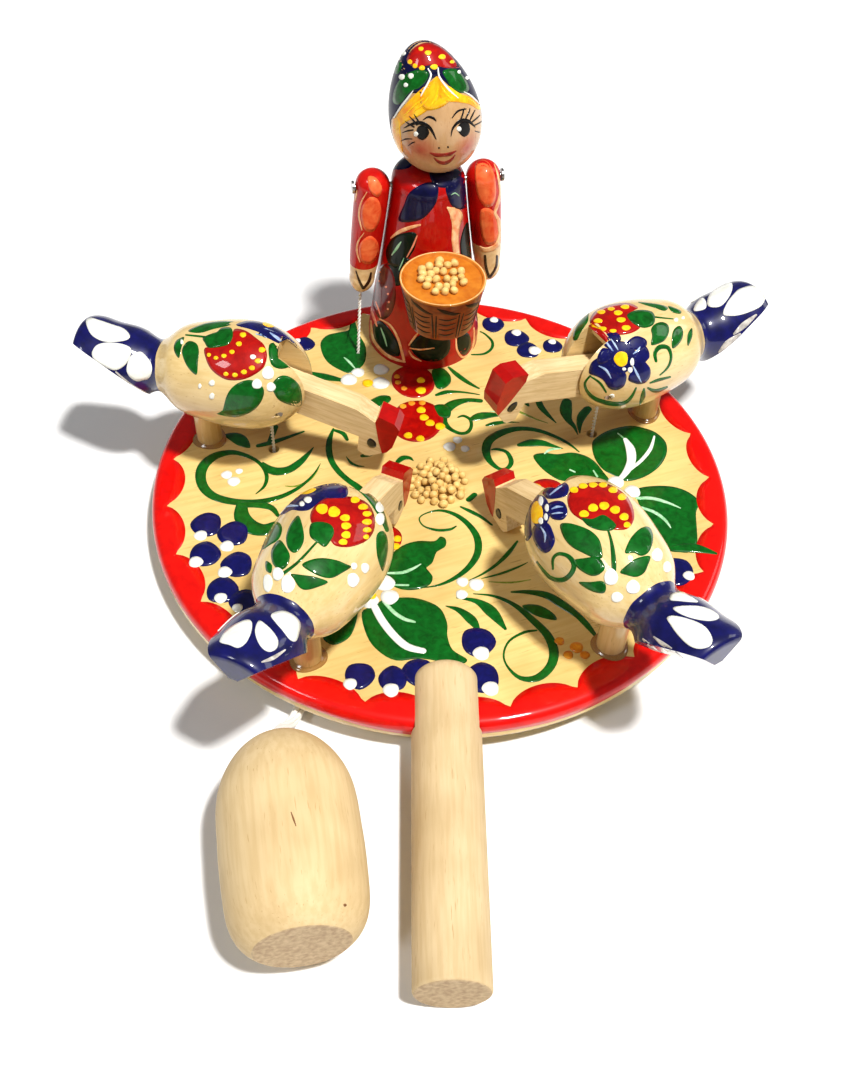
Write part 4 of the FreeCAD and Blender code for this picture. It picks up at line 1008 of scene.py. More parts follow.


# Each hen's own painting, in the photograph's pixels; its facet rows are painted highlights along the
# tail's planed facets. FAR_LEAVES, FAR_DABS and FAR_DROPS lie on the side that it hides, in
# millimetres along the egg and across its back.
HEN_PAINTINGS = {
    "back_left": dict(berry="""
205,348 220,347 229,343 232,336 235,329 246,331 256,338 264,345 267,355 265,365 260,371 250,377 240,380 \
228,380 219,376 211,369 206,359
""", calyx="""
203,338 211,334 217,332 222,328 231,328 233,336 229,344 220,347 209,348 205,343
""", seeds="243,335,3.2,.8 239,344,3,.8 232,352,2.7,.8 224,356,2.6,.8 216,358,2.4,.8 209,355,2 226,374,2.6,.8 "
           "235,375,2.8,.8 244,372,3,.8 252,368,3,.8 258,361,3.2,.8 262,350,3.4,.8",
        petals="""
236,325 247,321 260,322 275,327 287,335 297,346 291,350 280,345 270,340 260,333 249,329
""", lights="""
256,334,1 264,338,2 272,342,.6
270,333,1 277,338,3 284,343,1
""", heart="", eye="268,325,6,.35,.3", leaves="""
184,337 177,340 174,346 175,353 179,358 181,350 183,342
190,341 197,344 199,352 198,362 197,374 193,373 187,366 183,357 182,350 185,344
188,331 200,325 212,322 226,321 238,323 228,326 214,329 200,333
222,412 227,395 235,385 247,380 257,382 264,390 261,402 251,412 235,417 217,414
272,385 280,376 290,377 299,385 302,397 300,406 287,404 277,398
269,345 280,343 292,345 297,355 294,364 282,369 271,364
""", strokes="""
186,335,1.6 196,336,2 205,337,2
""", dabs="268,373,6,1.1 257,384,5 271,387,4.6 253,357,3,.8 200,386,1.6,1.6 212,383,3 212,396,2.6,1.2 "
          "182,342,1.4,1.8",
        drops="""
86,322 90,333 97,339 106,342 117,342 127,340 130,336 124,329 113,325 98,320 90,318
92,353 96,346 104,343 115,343 125,345 131,349 130,357 125,365 117,370 110,369 101,364 94,359
127,366 130,357 136,353 141,352 146,356 151,363 152,371 149,378 143,380 137,381 131,378 127,372
""", facet_highlight_rows="""
92,364,2 108,376,4 126,386,2
116,372,1.4 132,386,3 148,394,1.6
"""),
    "front_left": dict(berry="""
311,512 322,499 335,497 352,497 367,503 374,515 374,530 366,541 350,547 336,546 330,540 322,530 312,524
""", calyx="""
311,524 322,522 331,525 334,532 331,540 325,547 318,543 310,536
""", seeds="322,509,6,.85 334,512,6,.9 345,518,5,.7 346,526,5,.7 346,535,4.6,.8 343,542,4.4,.7 355,500,4.6,.7 "
           "363,507,5,.6 367,514,4.6,.6 367,522,5,.6 367,530,4.4,.6 366,537,3,.8",
        petals="""
277,515 281,507 288,500 296,494 304,488 313,482 322,480 335,481 346,486 348,494 344,498 335,498 324,499 \
316,505 309,510 300,511 292,510 284,514
""", lights="""
280,509,1 288,506,2.6 298,506,1
""", heart="", eye="306,491,10,.32,-.15", leaves="""
261,549 262,540 266,531 272,524 278,522 282,527 281,535 277,541 270,545 264,549
299,516 303,528 304,540 300,549 294,553 288,548 286,538 289,527 294,519
280,540 286,547 290,556 287,566 280,570 273,564 271,553 274,545
266,561 272,565 271,573 266,570
302,565 310,560 322,558 336,560 346,564 351,567 342,573 332,578 322,577 311,572
291,574 303,575 316,577 328,582 318,587 306,590 299,587 294,579
376,540 378,533 383,531 387,537 388,548 386,561 383,571 380,566 377,555
""", strokes="""
284,573,3.5 296,564,3 306,554,2.6 316,543,2.2 322,538,1.5
352,483,3 362,490,6 372,500,7 381,514,7 387,530,4
""", dabs="278,574,5.5,1.2 268,583,4.5,2 288,584,7,1.3 308,500,4,.8 302,504,2.6 354,566,3,1.2 365,568,4,1.3 "
          "353,580,6,1.2 380,507,4.4,1.3 380,519,4.4,1.4",
        drops="""
220,640 226,631 236,624 247,620 252,623 251,633 246,643 238,648 229,645 221,643
259,621 266,625 273,632 278,641 276,649 269,652 262,648 257,640 255,630
271,615 282,611 293,615 300,623 299,632 296,641 290,640 282,630 275,622
""", facet_highlight_rows="""
262,662,1.6 273,658,4 285,650,1.6
"""),
    "front_right": dict(berry="""
568,505 568,495 575,488 585,484 597,482 610,485 622,492 630,501 634,513 633,522 627,529 617,530 611,529 \
600,527 590,524 580,519 572,513
""", calyx="""
582,518 592,519 602,515 609,518 616,525 613,530 606,531 598,530 590,527 585,523
""", seeds="574,490,4.4,.7 583,486,4.6,.6 593,485,4.4,.6 603,485,4.4,.6 613,490,4.6,.7 622,497,4.4,.8 "
           "584,514,5,.7 593,508,5,.8 604,506,5,.8 615,510,5,.8 624,517,4.6,.8 627,525,3.6,.8",
        petals="""
543,492 550,485 558,482 566,483 569,488 567,495 560,498 550,499 545,497
547,505 555,501 563,502 567,508 567,515 562,520 553,519 548,513
535,525 542,521 549,524 553,532 555,541 551,550 545,553 539,549 534,541 532,532
530,495 537,494 541,498 533,505 531,515 531,527 532,535 527,541 523,533 523,520 525,506
""", lights="""
550,495,1 556,490,2 562,486,.8
552,509,1 557,507,2.4 563,507,.8
552,514,.6 558,513,1.8 563,513,.6
541,527,.8 545,534,2.4 545,542,.8
""", heart="541,512,9,1.9", eye="537,513,6,1.9,0", leaves="""
560,525 568,523 580,526 591,531 599,539 602,549 602,558 594,558 583,553 572,547 564,538
574,560 585,558 598,557 605,567 600,574 592,576 583,572 576,566
625,553 628,543 633,535 641,528 649,527 653,535 652,545 648,553 641,556 634,553
620,572 628,564 637,558 650,556 648,565 644,573 636,577 626,575
579,582 590,582 602,581 606,586 604,593 594,592 584,587
""", strokes="""
608,530,2.2 611,540,3 613,552,4.5 614,566,5 614,574,3
553,569,2 553,559,3 558,554,3.5 566,555,4 572,560,5 574,567,5 570,575,5 562,580,5 551,578,4 543,570,3 537,562,2
""", dabs="611,577,7,1.2 633,587,7 617,597,6,.85 657,555,5.5,1.2 667,567,4,1.4 630,558,2.6 541,501,2.4,2 "
          "547,508,2,2 546,517,2,1.8 541,521,2.4,1.4",
        drops="""
667,618 674,616 691,620 705,627 712,638 710,646 699,649 688,645 677,634 670,624
673,608 686,606 702,607 714,612 719,618 710,621 694,619 680,614
670,600 672,594 681,592 689,596 698,602 689,602 678,601
""", facet_highlight_rows="""
643,639,1.6 655,651,5 667,662,2
654,637,1.6 670,650,6 687,664,2
"""),
    "back_right": dict(berry="""
590,322 592,315 599,309 610,305 623,303 632,304 638,308 633,311 631,318 634,324 640,327 636,331 628,334 \
617,335 604,333 594,329
""", calyx="""
627,315 634,311 643,310 652,312 655,318 653,325 645,328 637,326 630,321
""", seeds="625,307,4.4,.5 618,313,4.4,.55 621,320,4.6,.55 626,328,4.4,.6 601,312,4.4,.5 598,321,4.6,.5 "
           "602,329,4.6,.5 611,309,3.6,.5 613,331,3.6,.5",
        petals="""
602,342 604,336 610,333 617,333 621,338 619,345 614,349 607,348
625,345 630,339 637,336 645,339 647,344 643,349 634,350 628,349
638,349 645,346 649,352 649,358 645,361 650,368 650,376 646,382 640,384 634,383 628,379 633,366 634,358
589,370 592,362 600,357 608,357 613,364 620,368 626,374 626,381 623,387 616,390 609,388 603,380 596,376 590,374
597,360 599,353 603,348 610,350 612,357 607,362 600,364
""", lights="""
605,340,1 609,346,2 613,351,.6
611,339,.6 615,345,1.8 618,350,.6
640,347,.8 637,351,2 633,354,.6
633,366,.8 637,374,2.4 641,382,.8
599,366,.8 606,370,2.4 611,378,.8
""", heart="621,357,15,1.1", cheek=" 38,6.5,31,11,5", eye="621,359,7,1.1,0", leaves="""
638,302 650,303 662,305 668,308 664,311 655,308 645,305
668,306 675,308 681,311 680,314 672,312
655,324 662,322 668,325 669,332 665,340 658,344 651,345 652,336 651,329
672,335 675,328 680,326 683,331 682,339 677,346 672,348
688,333 692,328 692,337 688,346 687,340
""", strokes="""
654,317,1.8 663,318,1.6 673,319,1.2
656,361,3 655,353,4 660,347,5 668,348,4 671,357,3 668,367,2.4 660,375,1.4
590,376,2 585,383,2.5 587,391,3 594,398,4 604,402,4.5 616,404,4.5 626,402,3.5 632,396,3 636,388,1.8
590,376,1.4 600,383,2.4 606,392,2
650,383,1.5 658,380,3 670,377,2
648,388,2 656,391,4 667,387,2
644,389,2 643,396,5 640,404,2
""", dabs="632,362,2,2 630,370,2.4,1.2 624,369,2,.8 676,320,2 683,318,1.6 612,396,2.6,.8",
        drops="""
723,314 727,303 734,294 740,289 752,286 762,290 765,298 761,306 752,311 740,315 730,316
708,306 709,296 719,286 731,283 732,290 727,300 719,307
694,311 696,304 702,298 706,302 705,309
""", facet_highlight_rows="""
734,334,2 744,325,6 756,315,2
719,352,1.6 728,343,6 740,334,2
"""),
}
FAR_LEAVES = "26,20,15,18,4.8 22,22,15,30,5 31,21,25,31,5.4 34,22,37,31,4.6"
FAR_DABS = "19,25.4,1.5 12.5,23,1.2 28,26.8,1.2"
FAR_DROPS = marks("""
-13.6,15 -9,12.8 -5.4,12.4 -5,15.4 -7.6,19 -11,20.6
-3.4,16 -1.4,17 -.8,20 -1.6,23.6 -3.6,22.4 -4.4,19
""")


def patches(text):
    """A filled patch for each row of marks in the photograph's pixels."""
    return [blob(row, step=PIXEL_STEP) for row in marks(text)]


def numbers(text):
    """Rows of numbers, one for each mark."""
    return [tuple(float(n) for n in pair.split(",")) for pair in text.split()]


pale_blue = enamel("pale_blue_enamel", tint(110, 140, 190), tint(186, 206, 230), streaks=600.0)
# Pale grey for the painted highlights along the navy tails' planed facets.
facet_highlight_grey = enamel("facet_highlight_paint", tint(150, 144, 140), tint(214, 208, 198), streaks=500.0)
for name, art in HEN_PAINTINGS.items():
    body = name + "_hen_body"
    dress(body, hen_finish(name))
    place = in_sight(body, slot_brim(name))
    far = on_egg(name)
    side = 1 if name.endswith("left") else -1
    near = in_sight(body, slot_brim(name, {"back_left": -1, "back_right": 1}.get(name, 0)))
    crown = in_sight(body, slot_brim(name, 1)) if name == "back_left" else near
    eye = numbers(art["eye"])[0]
    paint(name + "_leaves", "base", green, near, LEAF_LIFT,
          patches(art["leaves"]) + strokes(art["strokes"]))
    paint(name + "_far_leaves", "base", green, far, LEAF_LIFT,
          [leaf(a, side * b, c, side * d, width)
           for a, b, c, d, width in numbers(FAR_LEAVES + art.get("cheek", ""))])
    paint(name + "_strawberry", "base", berry_red, place, FRUIT_LIFT, patches(art["berry"]))
    paint(name + "_calyx", "base", green, place, STALK_LIFT, patches(art["calyx"]))
    paint(name + "_petals", "base", navy, crown, PETAL_LIFT,
          patches(art["petals"]) + [dot(*row) for row in numbers(art["heart"])])
    paint(name + "_seeds", "base", yellow, place, YELLOW_LIFT,
          [dot(*row) for row in numbers(art["seeds"])] + [dot(*eye)])
    paint(name + "_petal_lights", "base", pale_blue, crown, GLEAM_LIFT, strokes(art["lights"]))
    paint(name + "_white_dabs", "base", white, place, WHITE_LIFT,
          [dot(*row) for row in numbers(art["dabs"])] + patches(art["drops"]))
    # Painted highlights: pale grey streaks along the glossy navy tail's planed facets.
    paint(name + "_facet_streaks", "base", facet_highlight_grey, place, FACET_HIGHLIGHT_LIFT, strokes(art["facet_highlight_rows"]))
    paint(name + "_far_white_dabs", "base", white, far, WHITE_LIFT,
          [dot(s, side * arc, wide) for s, arc, wide in numbers(FAR_DABS)]
          + [blob([(s, side * arc) for s, arc in row]) for row in FAR_DROPS])

# Necks: sawn from a raw strip, with the saw's marks on the sides. Each turns on a steel cross
# pin in the egg's slot. The comb end is dipped in red, and an eye is dotted on each side.
NECK_HALF = 3.0
NECK_HINGE = (24.5, 0, 23.6)
COMB_LIFT, EYE_LIFT = 0.07, 0.1
COMB = ((23.9, 4.75), (28.55, 4.2), (30.38, 2.65), (30.38, -4.15), (29.46, -6.72), (28.5, -7.65),
        (26.6, -4.2), (25.0, -0.6), (23.75, 2.4))
comb_red = enamel("comb_red", tint(150, 5, 4), tint(176, 7, 5), streaks=300.0)
neck_black = enamel("eye_black", tint(6, 5, 6), tint(20, 18, 18), streaks=900.0)
steel = mottled("steel_pin", (0.32, 0.31, 0.3), (0.52, 0.51, 0.5), scale=1500.0, detail=3.0,
                rough=0.32, Metallic=1.0)
for name, (*_, raised) in HEN_PLACES.items():
    body = name + "_neck_lever"
    hinge = hen_stand(name) @ Matrix.Translation(NECK_HINGE) @ Matrix.Rotation(math.radians(-raised), 4, "Y")
    linden = timber(name + "_neck_linden", tint(230, 204, 156), tint(212, 182, 130), tint(176, 140, 90),
                    turn=hinge.to_euler(), place=hinge.translation * MM, rough=0.7, lines=1300.0)
    dress(name + "_neck", linden)
    dress(name + "_neck_pin", steel)
    points = [hinge @ Vector((x, side, z)) * MM
              for side in (-NECK_HALF - COMB_LIFT, NECK_HALF + COMB_LIFT) for x, z in COMB]
    count = len(COMB)
    faces = [tuple(range(count)), tuple(count + k for k in reversed(range(count)))]
    faces += [(k, count + k, count + (k + 1) % count, (k + 1) % count) for k in range(count)]
    mesh_piece(name + "_comb", points, faces, body, comb_red, smooth=False)
    for word, side in (("left", 1), ("right", -1)):
        paint(name + "_" + word + "_eye", body, neck_black,
              lambda x, z, lift: hinge @ Vector((x, side * (NECK_HALF + lift), z)) * MM, EYE_LIFT,
              [dot(24.9, -5.4, 1.25, 1.35, 0.5)])

# Neck strings: one cotton string from each neck's tail, straight down through the board. It runs
# from its hole up to the neck's tail, laid as a twisted string in its solid's place.


def string_ends(node):
    """The middles of a string's two ends, the lower one first."""
    spots = [vertex.co for vertex in nodes[node].data.vertices]
    ends = []
    for level in (min(spot.z for spot in spots), max(spot.z for spot in spots)):
        near = [spot for spot in spots if abs(spot.z - level) < 0.00015]
        ends.append(sum(near, Vector()) / len(near))
    return ends


def held_string(node):
    """A twisted string between the board and a moving piece, in place of its solid."""
    low, high = string_ends(node)
    line = [low.lerp(high, k / 12) for k in range(13)]
    points, faces, _ = twisted(line, STRING_THICK, plies=2, lay_length=STRING_LAY)
    string = mesh_piece(node + "_laid", points, faces, None, cotton)
    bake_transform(string)
    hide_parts(node)


for name in HEN_PLACES:
    held_string(name + "_neck_string")

# Gown: the figure's body, turned in one piece and glued to the board. It is enamelled red, with
# dark leaves, a strawberry and pale flame strokes; the ends of the headscarf lie on its chest.
gown_red = enamel("gown_red", tint(158, 2, 2), tint(184, 5, 3), streaks=200.0)
dark_green = enamel("dark_green_enamel", tint(0, 12, 4), tint(2, 24, 10), streaks=500.0, coat=0.25)
deep_navy = enamel("deep_navy_enamel", tint(2, 3, 38), tint(7, 8, 58), streaks=420.0, coat=0.35)
pale_orange = enamel("pale_orange_enamel", tint(226, 132, 74), tint(252, 206, 150), streaks=420.0)
deep_berry = enamel("deep_berry_enamel", tint(70, 2, 4), tint(112, 8, 6), streaks=420.0)
pink = enamel("pink_enamel", tint(226, 110, 84), tint(246, 160, 120), streaks=500.0)
dress("figure_gown", gown_red)
gown_low, gown_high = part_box("figure_gown")
GOWN_MIDDLE = (gown_low + gown_high) / 2
GOWN_ROUND = 13.0
DARK_LIFT, BERRY_LIFT, SCARF_LIFT, FLAME_LIFT, PALE_LIFT, GLINT_LIFT = 0.04, 0.05, 0.06, 0.07, 0.075, 0.08
BACK_SPRAYS = (4.5, 15.5, 26.5)
BACK_BERRIES = (10, 21)
gown_skin = skin("figure_gown")


def round_gown(u, height, lift):
    """Lays paint round the gown: u millimetres round its waist, and a height over the board."""
    angle = u / GOWN_ROUND
    out = Vector((math.cos(angle), math.sin(angle), 0))
    middle = Vector((GOWN_MIDDLE.x, GOWN_MIDDLE.y, (BOARD_TOP + height) * MM))
    hit, normal, _, _ = gown_skin.ray_cast(middle + out * 0.03, -out)
    return hit + normal * lift * MM


gown_spot = in_sight("figure_gown")
paint("gown_dark_leaves", "base", dark_green, gown_spot, DARK_LIFT, patches("""
468,222 463,230 460,244 462,258 470,262 476,248 475,230
392,239 400,234 412,232 417,236 414,250 405,262 396,268 388,262 386,250
386,264 402,258 413,262 409,276 398,286 388,280
373,326 381,321 391,331 399,345 399,356 386,353 376,342
410,346 420,335 436,334 449,338 449,352 438,361 420,359
458,336 468,333 471,345 465,355 458,350
"""))
paint("gown_deep_berry", "base", deep_berry, gown_spot, BERRY_LIFT, patches("""
384,264 393,273 396,295 391,314 380,319 372,302 374,278
"""))
paint("gown_flames", "base", pale_orange, gown_spot, FLAME_LIFT, strokes("""
448,208,2.5 456,215,13 456,226,8 455,240,7 457,258,6
391,238,1.5 399,232,3.5 409,228,3.6 420,225,2
371,321,1.5 373,338,2.6 381,350,3 392,358,3 405,362,1.6
380,319,1.2 390,325,1.8 398,338,2.4 404,360,2.6
409,345,1.4 414,338,2.2 418,333,1.4
410,348,1 420,349.5,1.6 434,348,1
409,351,1 413,357,2 421,361,1
456,339,1.2 457,350,2 463,357.5,2.2 471,352,2 474,340,1.6 474,328,1
"""))
paint("gown_lights", "base", pale_green, gown_spot, PALE_LIFT, strokes("""
392,255,1 397,248,2.8 401,242,1
381,328,.8 384,336,1.8 387,346,.8
399,270,.6 402,263,1.2 404,258,.6
"""))
paint("gown_pinks", "base", pink, gown_spot, PALE_LIFT, strokes("""
417,236,1.2 413,246,1.8 407,257,1
371,309,1.8 374,318,2.4 377,326,1.2
376,302,1.2 379,311,1.5 381,317,.8
""") + dots("""
386,287,1.1
388,294,1.1
389,302,1.1
388,309,1.1
379,281,1
380,272,1
"""))
paint("scarf_ends", "base", deep_navy, gown_spot, SCARF_LIFT, patches("""
425,183 410,192 404,205 399,221 420,220 433,208 438,196 437,184
446,186 448,198 453,207 463,209 469,200 468,184 458,176
430,171 438,168 462,170 464,178 452,187 438,187 431,180
392,169 397,161 404,157 413,163 406,169
"""))
paint("scarf_glints", "base", pale_green, gown_spot, GLINT_LIFT, strokes("""
451,195,.4 455,193,1 459,196,.5
"""))
# The gown's far side carries the same leaves and flames, out of the photograph's sight.
paint("gown_back_leaves", "base", dark_green, round_gown, DARK_LIFT,
      [leaf(u + side, 4.5, u + side * 2.6, 15.5, 5.2) for u in BACK_SPRAYS for side in (1.6, -1.6)])
paint("gown_back_flames", "base", pale_orange, round_gown, 0.06,
      [stroke([(u + side * 0.6, 4, 0.4), (u + side * 2.8, 10, 0.8), (u + side * 3.6, 16.5, 0.3)])
       for u in BACK_SPRAYS for side in (1.6, -1.6)])
paint("gown_back_berries", "base", deep_berry, round_gown, BERRY_LIFT,
      [berry(u, 27, 4.2, 5.2, 3.14) for u in BACK_BERRIES])
paint("gown_back_seeds", "base", orange, round_gown, 0.09,
      [dot(u + 2.6 * math.sin(a), 27.4 - 3.2 * math.cos(a), 0.4)
       for u in BACK_BERRIES for a in (-1.2, -0.6, 0, 0.6, 1.2)])

# Basket: a small turned bowl glued to the gown, stained brown and dulled, with the weave drawn
# on it in dark strokes. Its top is stained orange, and the grains of millet are glued on that.
basket_low, basket_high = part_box("basket")
RIM_DEEP = 0.00055
BASKET_MIDDLE = (basket_low + basket_high) / 2
basket_stain = timber("basket_stain", tint(150, 62, 12), tint(118, 40, 7), tint(72, 20, 3),
                      rough=0.42, coat=0.5, lines=800.0)
tree = basket_stain.node_tree
where = add_node(tree, "TexCoord")
split = add_node(tree, "SeparateXYZ")
link(tree, where, "Object", split, "Vector")
above = past(tree, split, "Z", "GREATER_THAN", basket_high.z - RIM_DEEP)
swirl = add_node(tree, "TexNoise", Scale=340.0, Detail=3.0, Distortion=0.4)
link(tree, where, "Object", swirl, "Vector")
top_stain = blend_colours(tree, tint(178, 92, 18), tint(206, 126, 36), start=0.3, end=0.7)
link(tree, swirl, "Fac", top_stain, "Fac")
overlay(tree, above, top_stain)
dress("basket", basket_stain)
basket_skin = skin("basket")
BASKET_ROUND = 10.3
RIM_ROUND = 11.35
WEAVE_LIFT = 0.04


def on_basket(u, height, lift):
    """Lays paint on the basket's side: u round it from the front, and a height over its foot."""
    angle = u / BASKET_ROUND - math.pi / 2
    out = Vector((math.cos(angle), math.sin(angle), 0))
    middle = Vector((BASKET_MIDDLE.x, BASKET_MIDDLE.y, basket_low.z + height * MM))
    hit, normal, _, _ = basket_skin.ray_cast(middle + out * 0.02, -out)
    return hit + normal * lift * MM


weave_brown = enamel("weave_brown", tint(20, 4, 1), tint(44, 10, 2), streaks=700.0, coat=0.2)
weave = []
panel = 2 * math.pi * BASKET_ROUND / 9
for k in range(9):
    u = -2.3 + k * panel
    for side in (-0.42, 0.42):
        weave.append(stroke([(u + side, 0.7, 0.3), (u + side * 1.1, 5, 0.5), (u + side * 1.3, 9.6, 0.3)], across=2))
    for j, height in enumerate((2.4, 4.4, 6.4, 8.4)):
        weave.append(stroke([(u + 1.3, height + 0.15, 0.25), (u + panel / 2, height - 0.35, 0.62),
                             (u + panel - 1.3, height + 0.15, 0.25)], across=2))
    weave.append(stroke([(u + 0.8, 12.6, 0.3), (u + panel * 0.35, 11.6, 1.3), (u + panel * 0.7, 10.4, 1.1),
                         (u + panel * 0.95, 10.2, 0.2)]))
paint("basket_weave", "base", weave_brown, on_basket, WEAVE_LIFT, weave)
rim_pale = enamel("rim_pale", tint(222, 170, 96), tint(240, 200, 140), streaks=500.0)
rim_light = []
for k in range(60):
    angle = 2 * math.pi * k / 60
    rim_light.append((BASKET_MIDDLE.x / MM + RIM_ROUND * math.cos(angle),
                      BASKET_MIDDLE.y / MM + RIM_ROUND * math.sin(angle), 0.36))
paint("basket_rim_light", "base", rim_pale,
      lambda x, y, lift: Vector((x, y, basket_high.z / MM + lift)) * MM, 0.02,
      [stroke(rim_light[:31], across=2, steps=1), stroke(rim_light[30:] + rim_light[:1], across=2, steps=1)])

grain_heap("basket_millet", "basket_grain", BASKET_MIDDLE / MM, basket_high.z / MM - 0.4,
           reach=6.6, count=26, layers=2, seed=9)

# Arms: turned sleeves with a hand at the end, each loose on a nail in the gown's shoulder. The
# sleeves are red with pale petals, and each hand is bare with its fingers drawn in black.
SLEEVE_TOP = 4.7
CUFF_DROP = {"figure_left_arm": 20.3, "figure_right_arm": 24.3}
PETALS_LIFT, FINGERS_LIFT, EDGES_LIFT = 0.05, 0.06, 0.07
petal_orange = enamel("petal_orange", tint(232, 74, 34), tint(250, 126, 70), streaks=300.0)


def sleeve_finish(name, arm):
    """Red down to the cuff and bare varnished wood below it."""
    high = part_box(arm)[1]
    cuff = high.z - (SLEEVE_TOP + CUFF_DROP[arm]) * MM
    finish = enamel(name, tint(180, 8, 4), tint(204, 22, 12), streaks=260.0)
    tree = finish.node_tree
    where = add_node(tree, "TexCoord")
    split = add_node(tree, "SeparateXYZ")
    link(tree, where, "Object", split, "Vector")
    below = past(tree, split, "Z", "LESS_THAN", cuff)
    grain = add_node(tree, "TexNoise", Scale=500.0, Detail=3.0)
    link(tree, where, "Object", grain, "Vector")
    bare = blend_colours(tree, tint(222, 184, 130), tint(240, 208, 158), start=0.35, end=0.65)
    link(tree, grain, "Fac", bare, "Fac")
    overlay(tree, below, bare)
    return finish


for arm in ("figure_left_arm", "figure_right_arm"):
    dress(arm, sleeve_finish(arm + "_enamel", arm))
    dress(arm + "_nail", steel)
right_sleeve = in_sight("figure_right_arm")
left_sleeve = in_sight("figure_left_arm")
paint("right_sleeve_petals", "right_arm", petal_orange, right_sleeve, PETALS_LIFT, patches("""
368,177 376,178 382,188 378,197 370,191
361,214 364,203 371,197 379,201 381,215 374,231 364,229
359,248 363,240 371,236 378,243 378,256 370,264 361,261
"""))
paint("right_sleeve_edges", "right_arm", pale_orange, right_sleeve, EDGES_LIFT, strokes("""
367,192,.6 361,203,1.6 359,216,1.8 362,230,.8
364,233,.6 358,242,1.6 357,252,1.8 360,262,.8
357,190,.4 356,196,1.6 355,202,.4
"""))
paint("left_sleeve_petals", "left_arm", petal_orange, left_sleeve, PETALS_LIFT, patches("""
476,163 484,160 491,166 495,178 496,196 492,206 484,206 478,196 475,180
480,212 487,208 494,212 498,222 499,236 494,244 486,244 481,232
"""))
paint("left_sleeve_edges", "left_arm", pale_orange, left_sleeve, EDGES_LIFT, strokes("""
494,164,.6 498,176,2 500,194,2.6 497,206,3.4 495,213,3 499,222,4 500,236,4.6 496,246,5 486,250,4.6 480,247,2
"""))
hand_black = enamel("hand_black", tint(30, 10, 4), tint(52, 22, 10), streaks=900.0, coat=0.6)
paint("right_fingers", "right_arm", hand_black, right_sleeve, FINGERS_LIFT, strokes("""
356,271,1.2 359,280,2.2 363,288,2.8
371,273,1.8 369,281,3 364,288,2.4
"""))
paint("left_fingers", "left_arm", hand_black, left_sleeve, FINGERS_LIFT, strokes("""
485,256,2.6 486,267,2.8 489,277,2.6
497,256,2.2 496,267,2.4 490,277,2.6
"""))

# Head: a turned egg on a hidden peg, its face left in bare varnished wood. The headscarf, the
# fair hair and the doll's features are painted on it, and the cheeks are rubbed with pink.
dress("neck_peg", bare_wood)
head_low, head_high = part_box("figure_head")
HEAD_MIDDLE = (head_low + head_high) / 2
SCARF_FILM, FACE_LIFT, HAIR_LIGHT_LIFT, SCARF_LEAF_LIFT = 0.05, 0.06, 0.075, 0.08
SCARF_FLOWER_LIFT, EYE_GLINT_LIFT, SCARF_DAB_LIFT = 0.085, 0.09, 0.11
head_skin = skin("figure_head")
head_spot = in_sight("figure_head")


def face_finish():
    """Bare varnished face with two rubbed cheeks."""
    finish = timber("face_varnish", tint(204, 164, 118), tint(196, 154, 106), tint(172, 128, 80),
                    turn=(0, math.pi / 2, 0), rough=0.4, coat=0.8)
    tree = finish.node_tree
    shader = tree.nodes["Principled BSDF"]
    last = shader.inputs["Base Color"].links[0].from_socket
    where = add_node(tree, "TexCoord")
    for px, py, reach in ((421, 150, 0.0056), (467, 148, 0.0052)):
        far = add_node(tree, "VectorMath", operation="DISTANCE")
        far.inputs[1].default_value = head_spot(px, py, 0)
        link(tree, where, "Object", far, 0)
        soft = add_node(tree, "MapRange", From_Min=0.0, From_Max=reach, To_Min=0.85, To_Max=0.0)
        link(tree, far, "Value", soft, "Value")
        rouge = add_node(tree, "MixRGB", Color2=(*tint(176, 44, 36), 1))
        link(tree, soft, "Result", rouge, "Fac")
        tree.links.new(last, rouge.inputs["Color1"])
        last = rouge.outputs["Color"]
    tree.links.new(last, shader.inputs["Base Color"])
    return finish


dress("figure_head", face_finish())
FACE_AHEAD = Vector((math.cos(math.radians(280.2)), math.sin(math.radians(280.2)), 0))
FACE_LEFT = Vector((0, 0, 1)).cross(FACE_AHEAD)


def head_place(turn_round, off, lift):
    """Lays paint on the head: a turn round the face's middle, and an angle away from it."""
    side = FACE_LEFT * math.cos(turn_round) + Vector((0, 0, 1)) * math.sin(turn_round)
    out = FACE_AHEAD * math.cos(off) + side * math.sin(off)
    hit, normal, _, _ = head_skin.ray_cast(HEAD_MIDDLE + out * 0.03, -out)
    return hit + normal * lift * MM


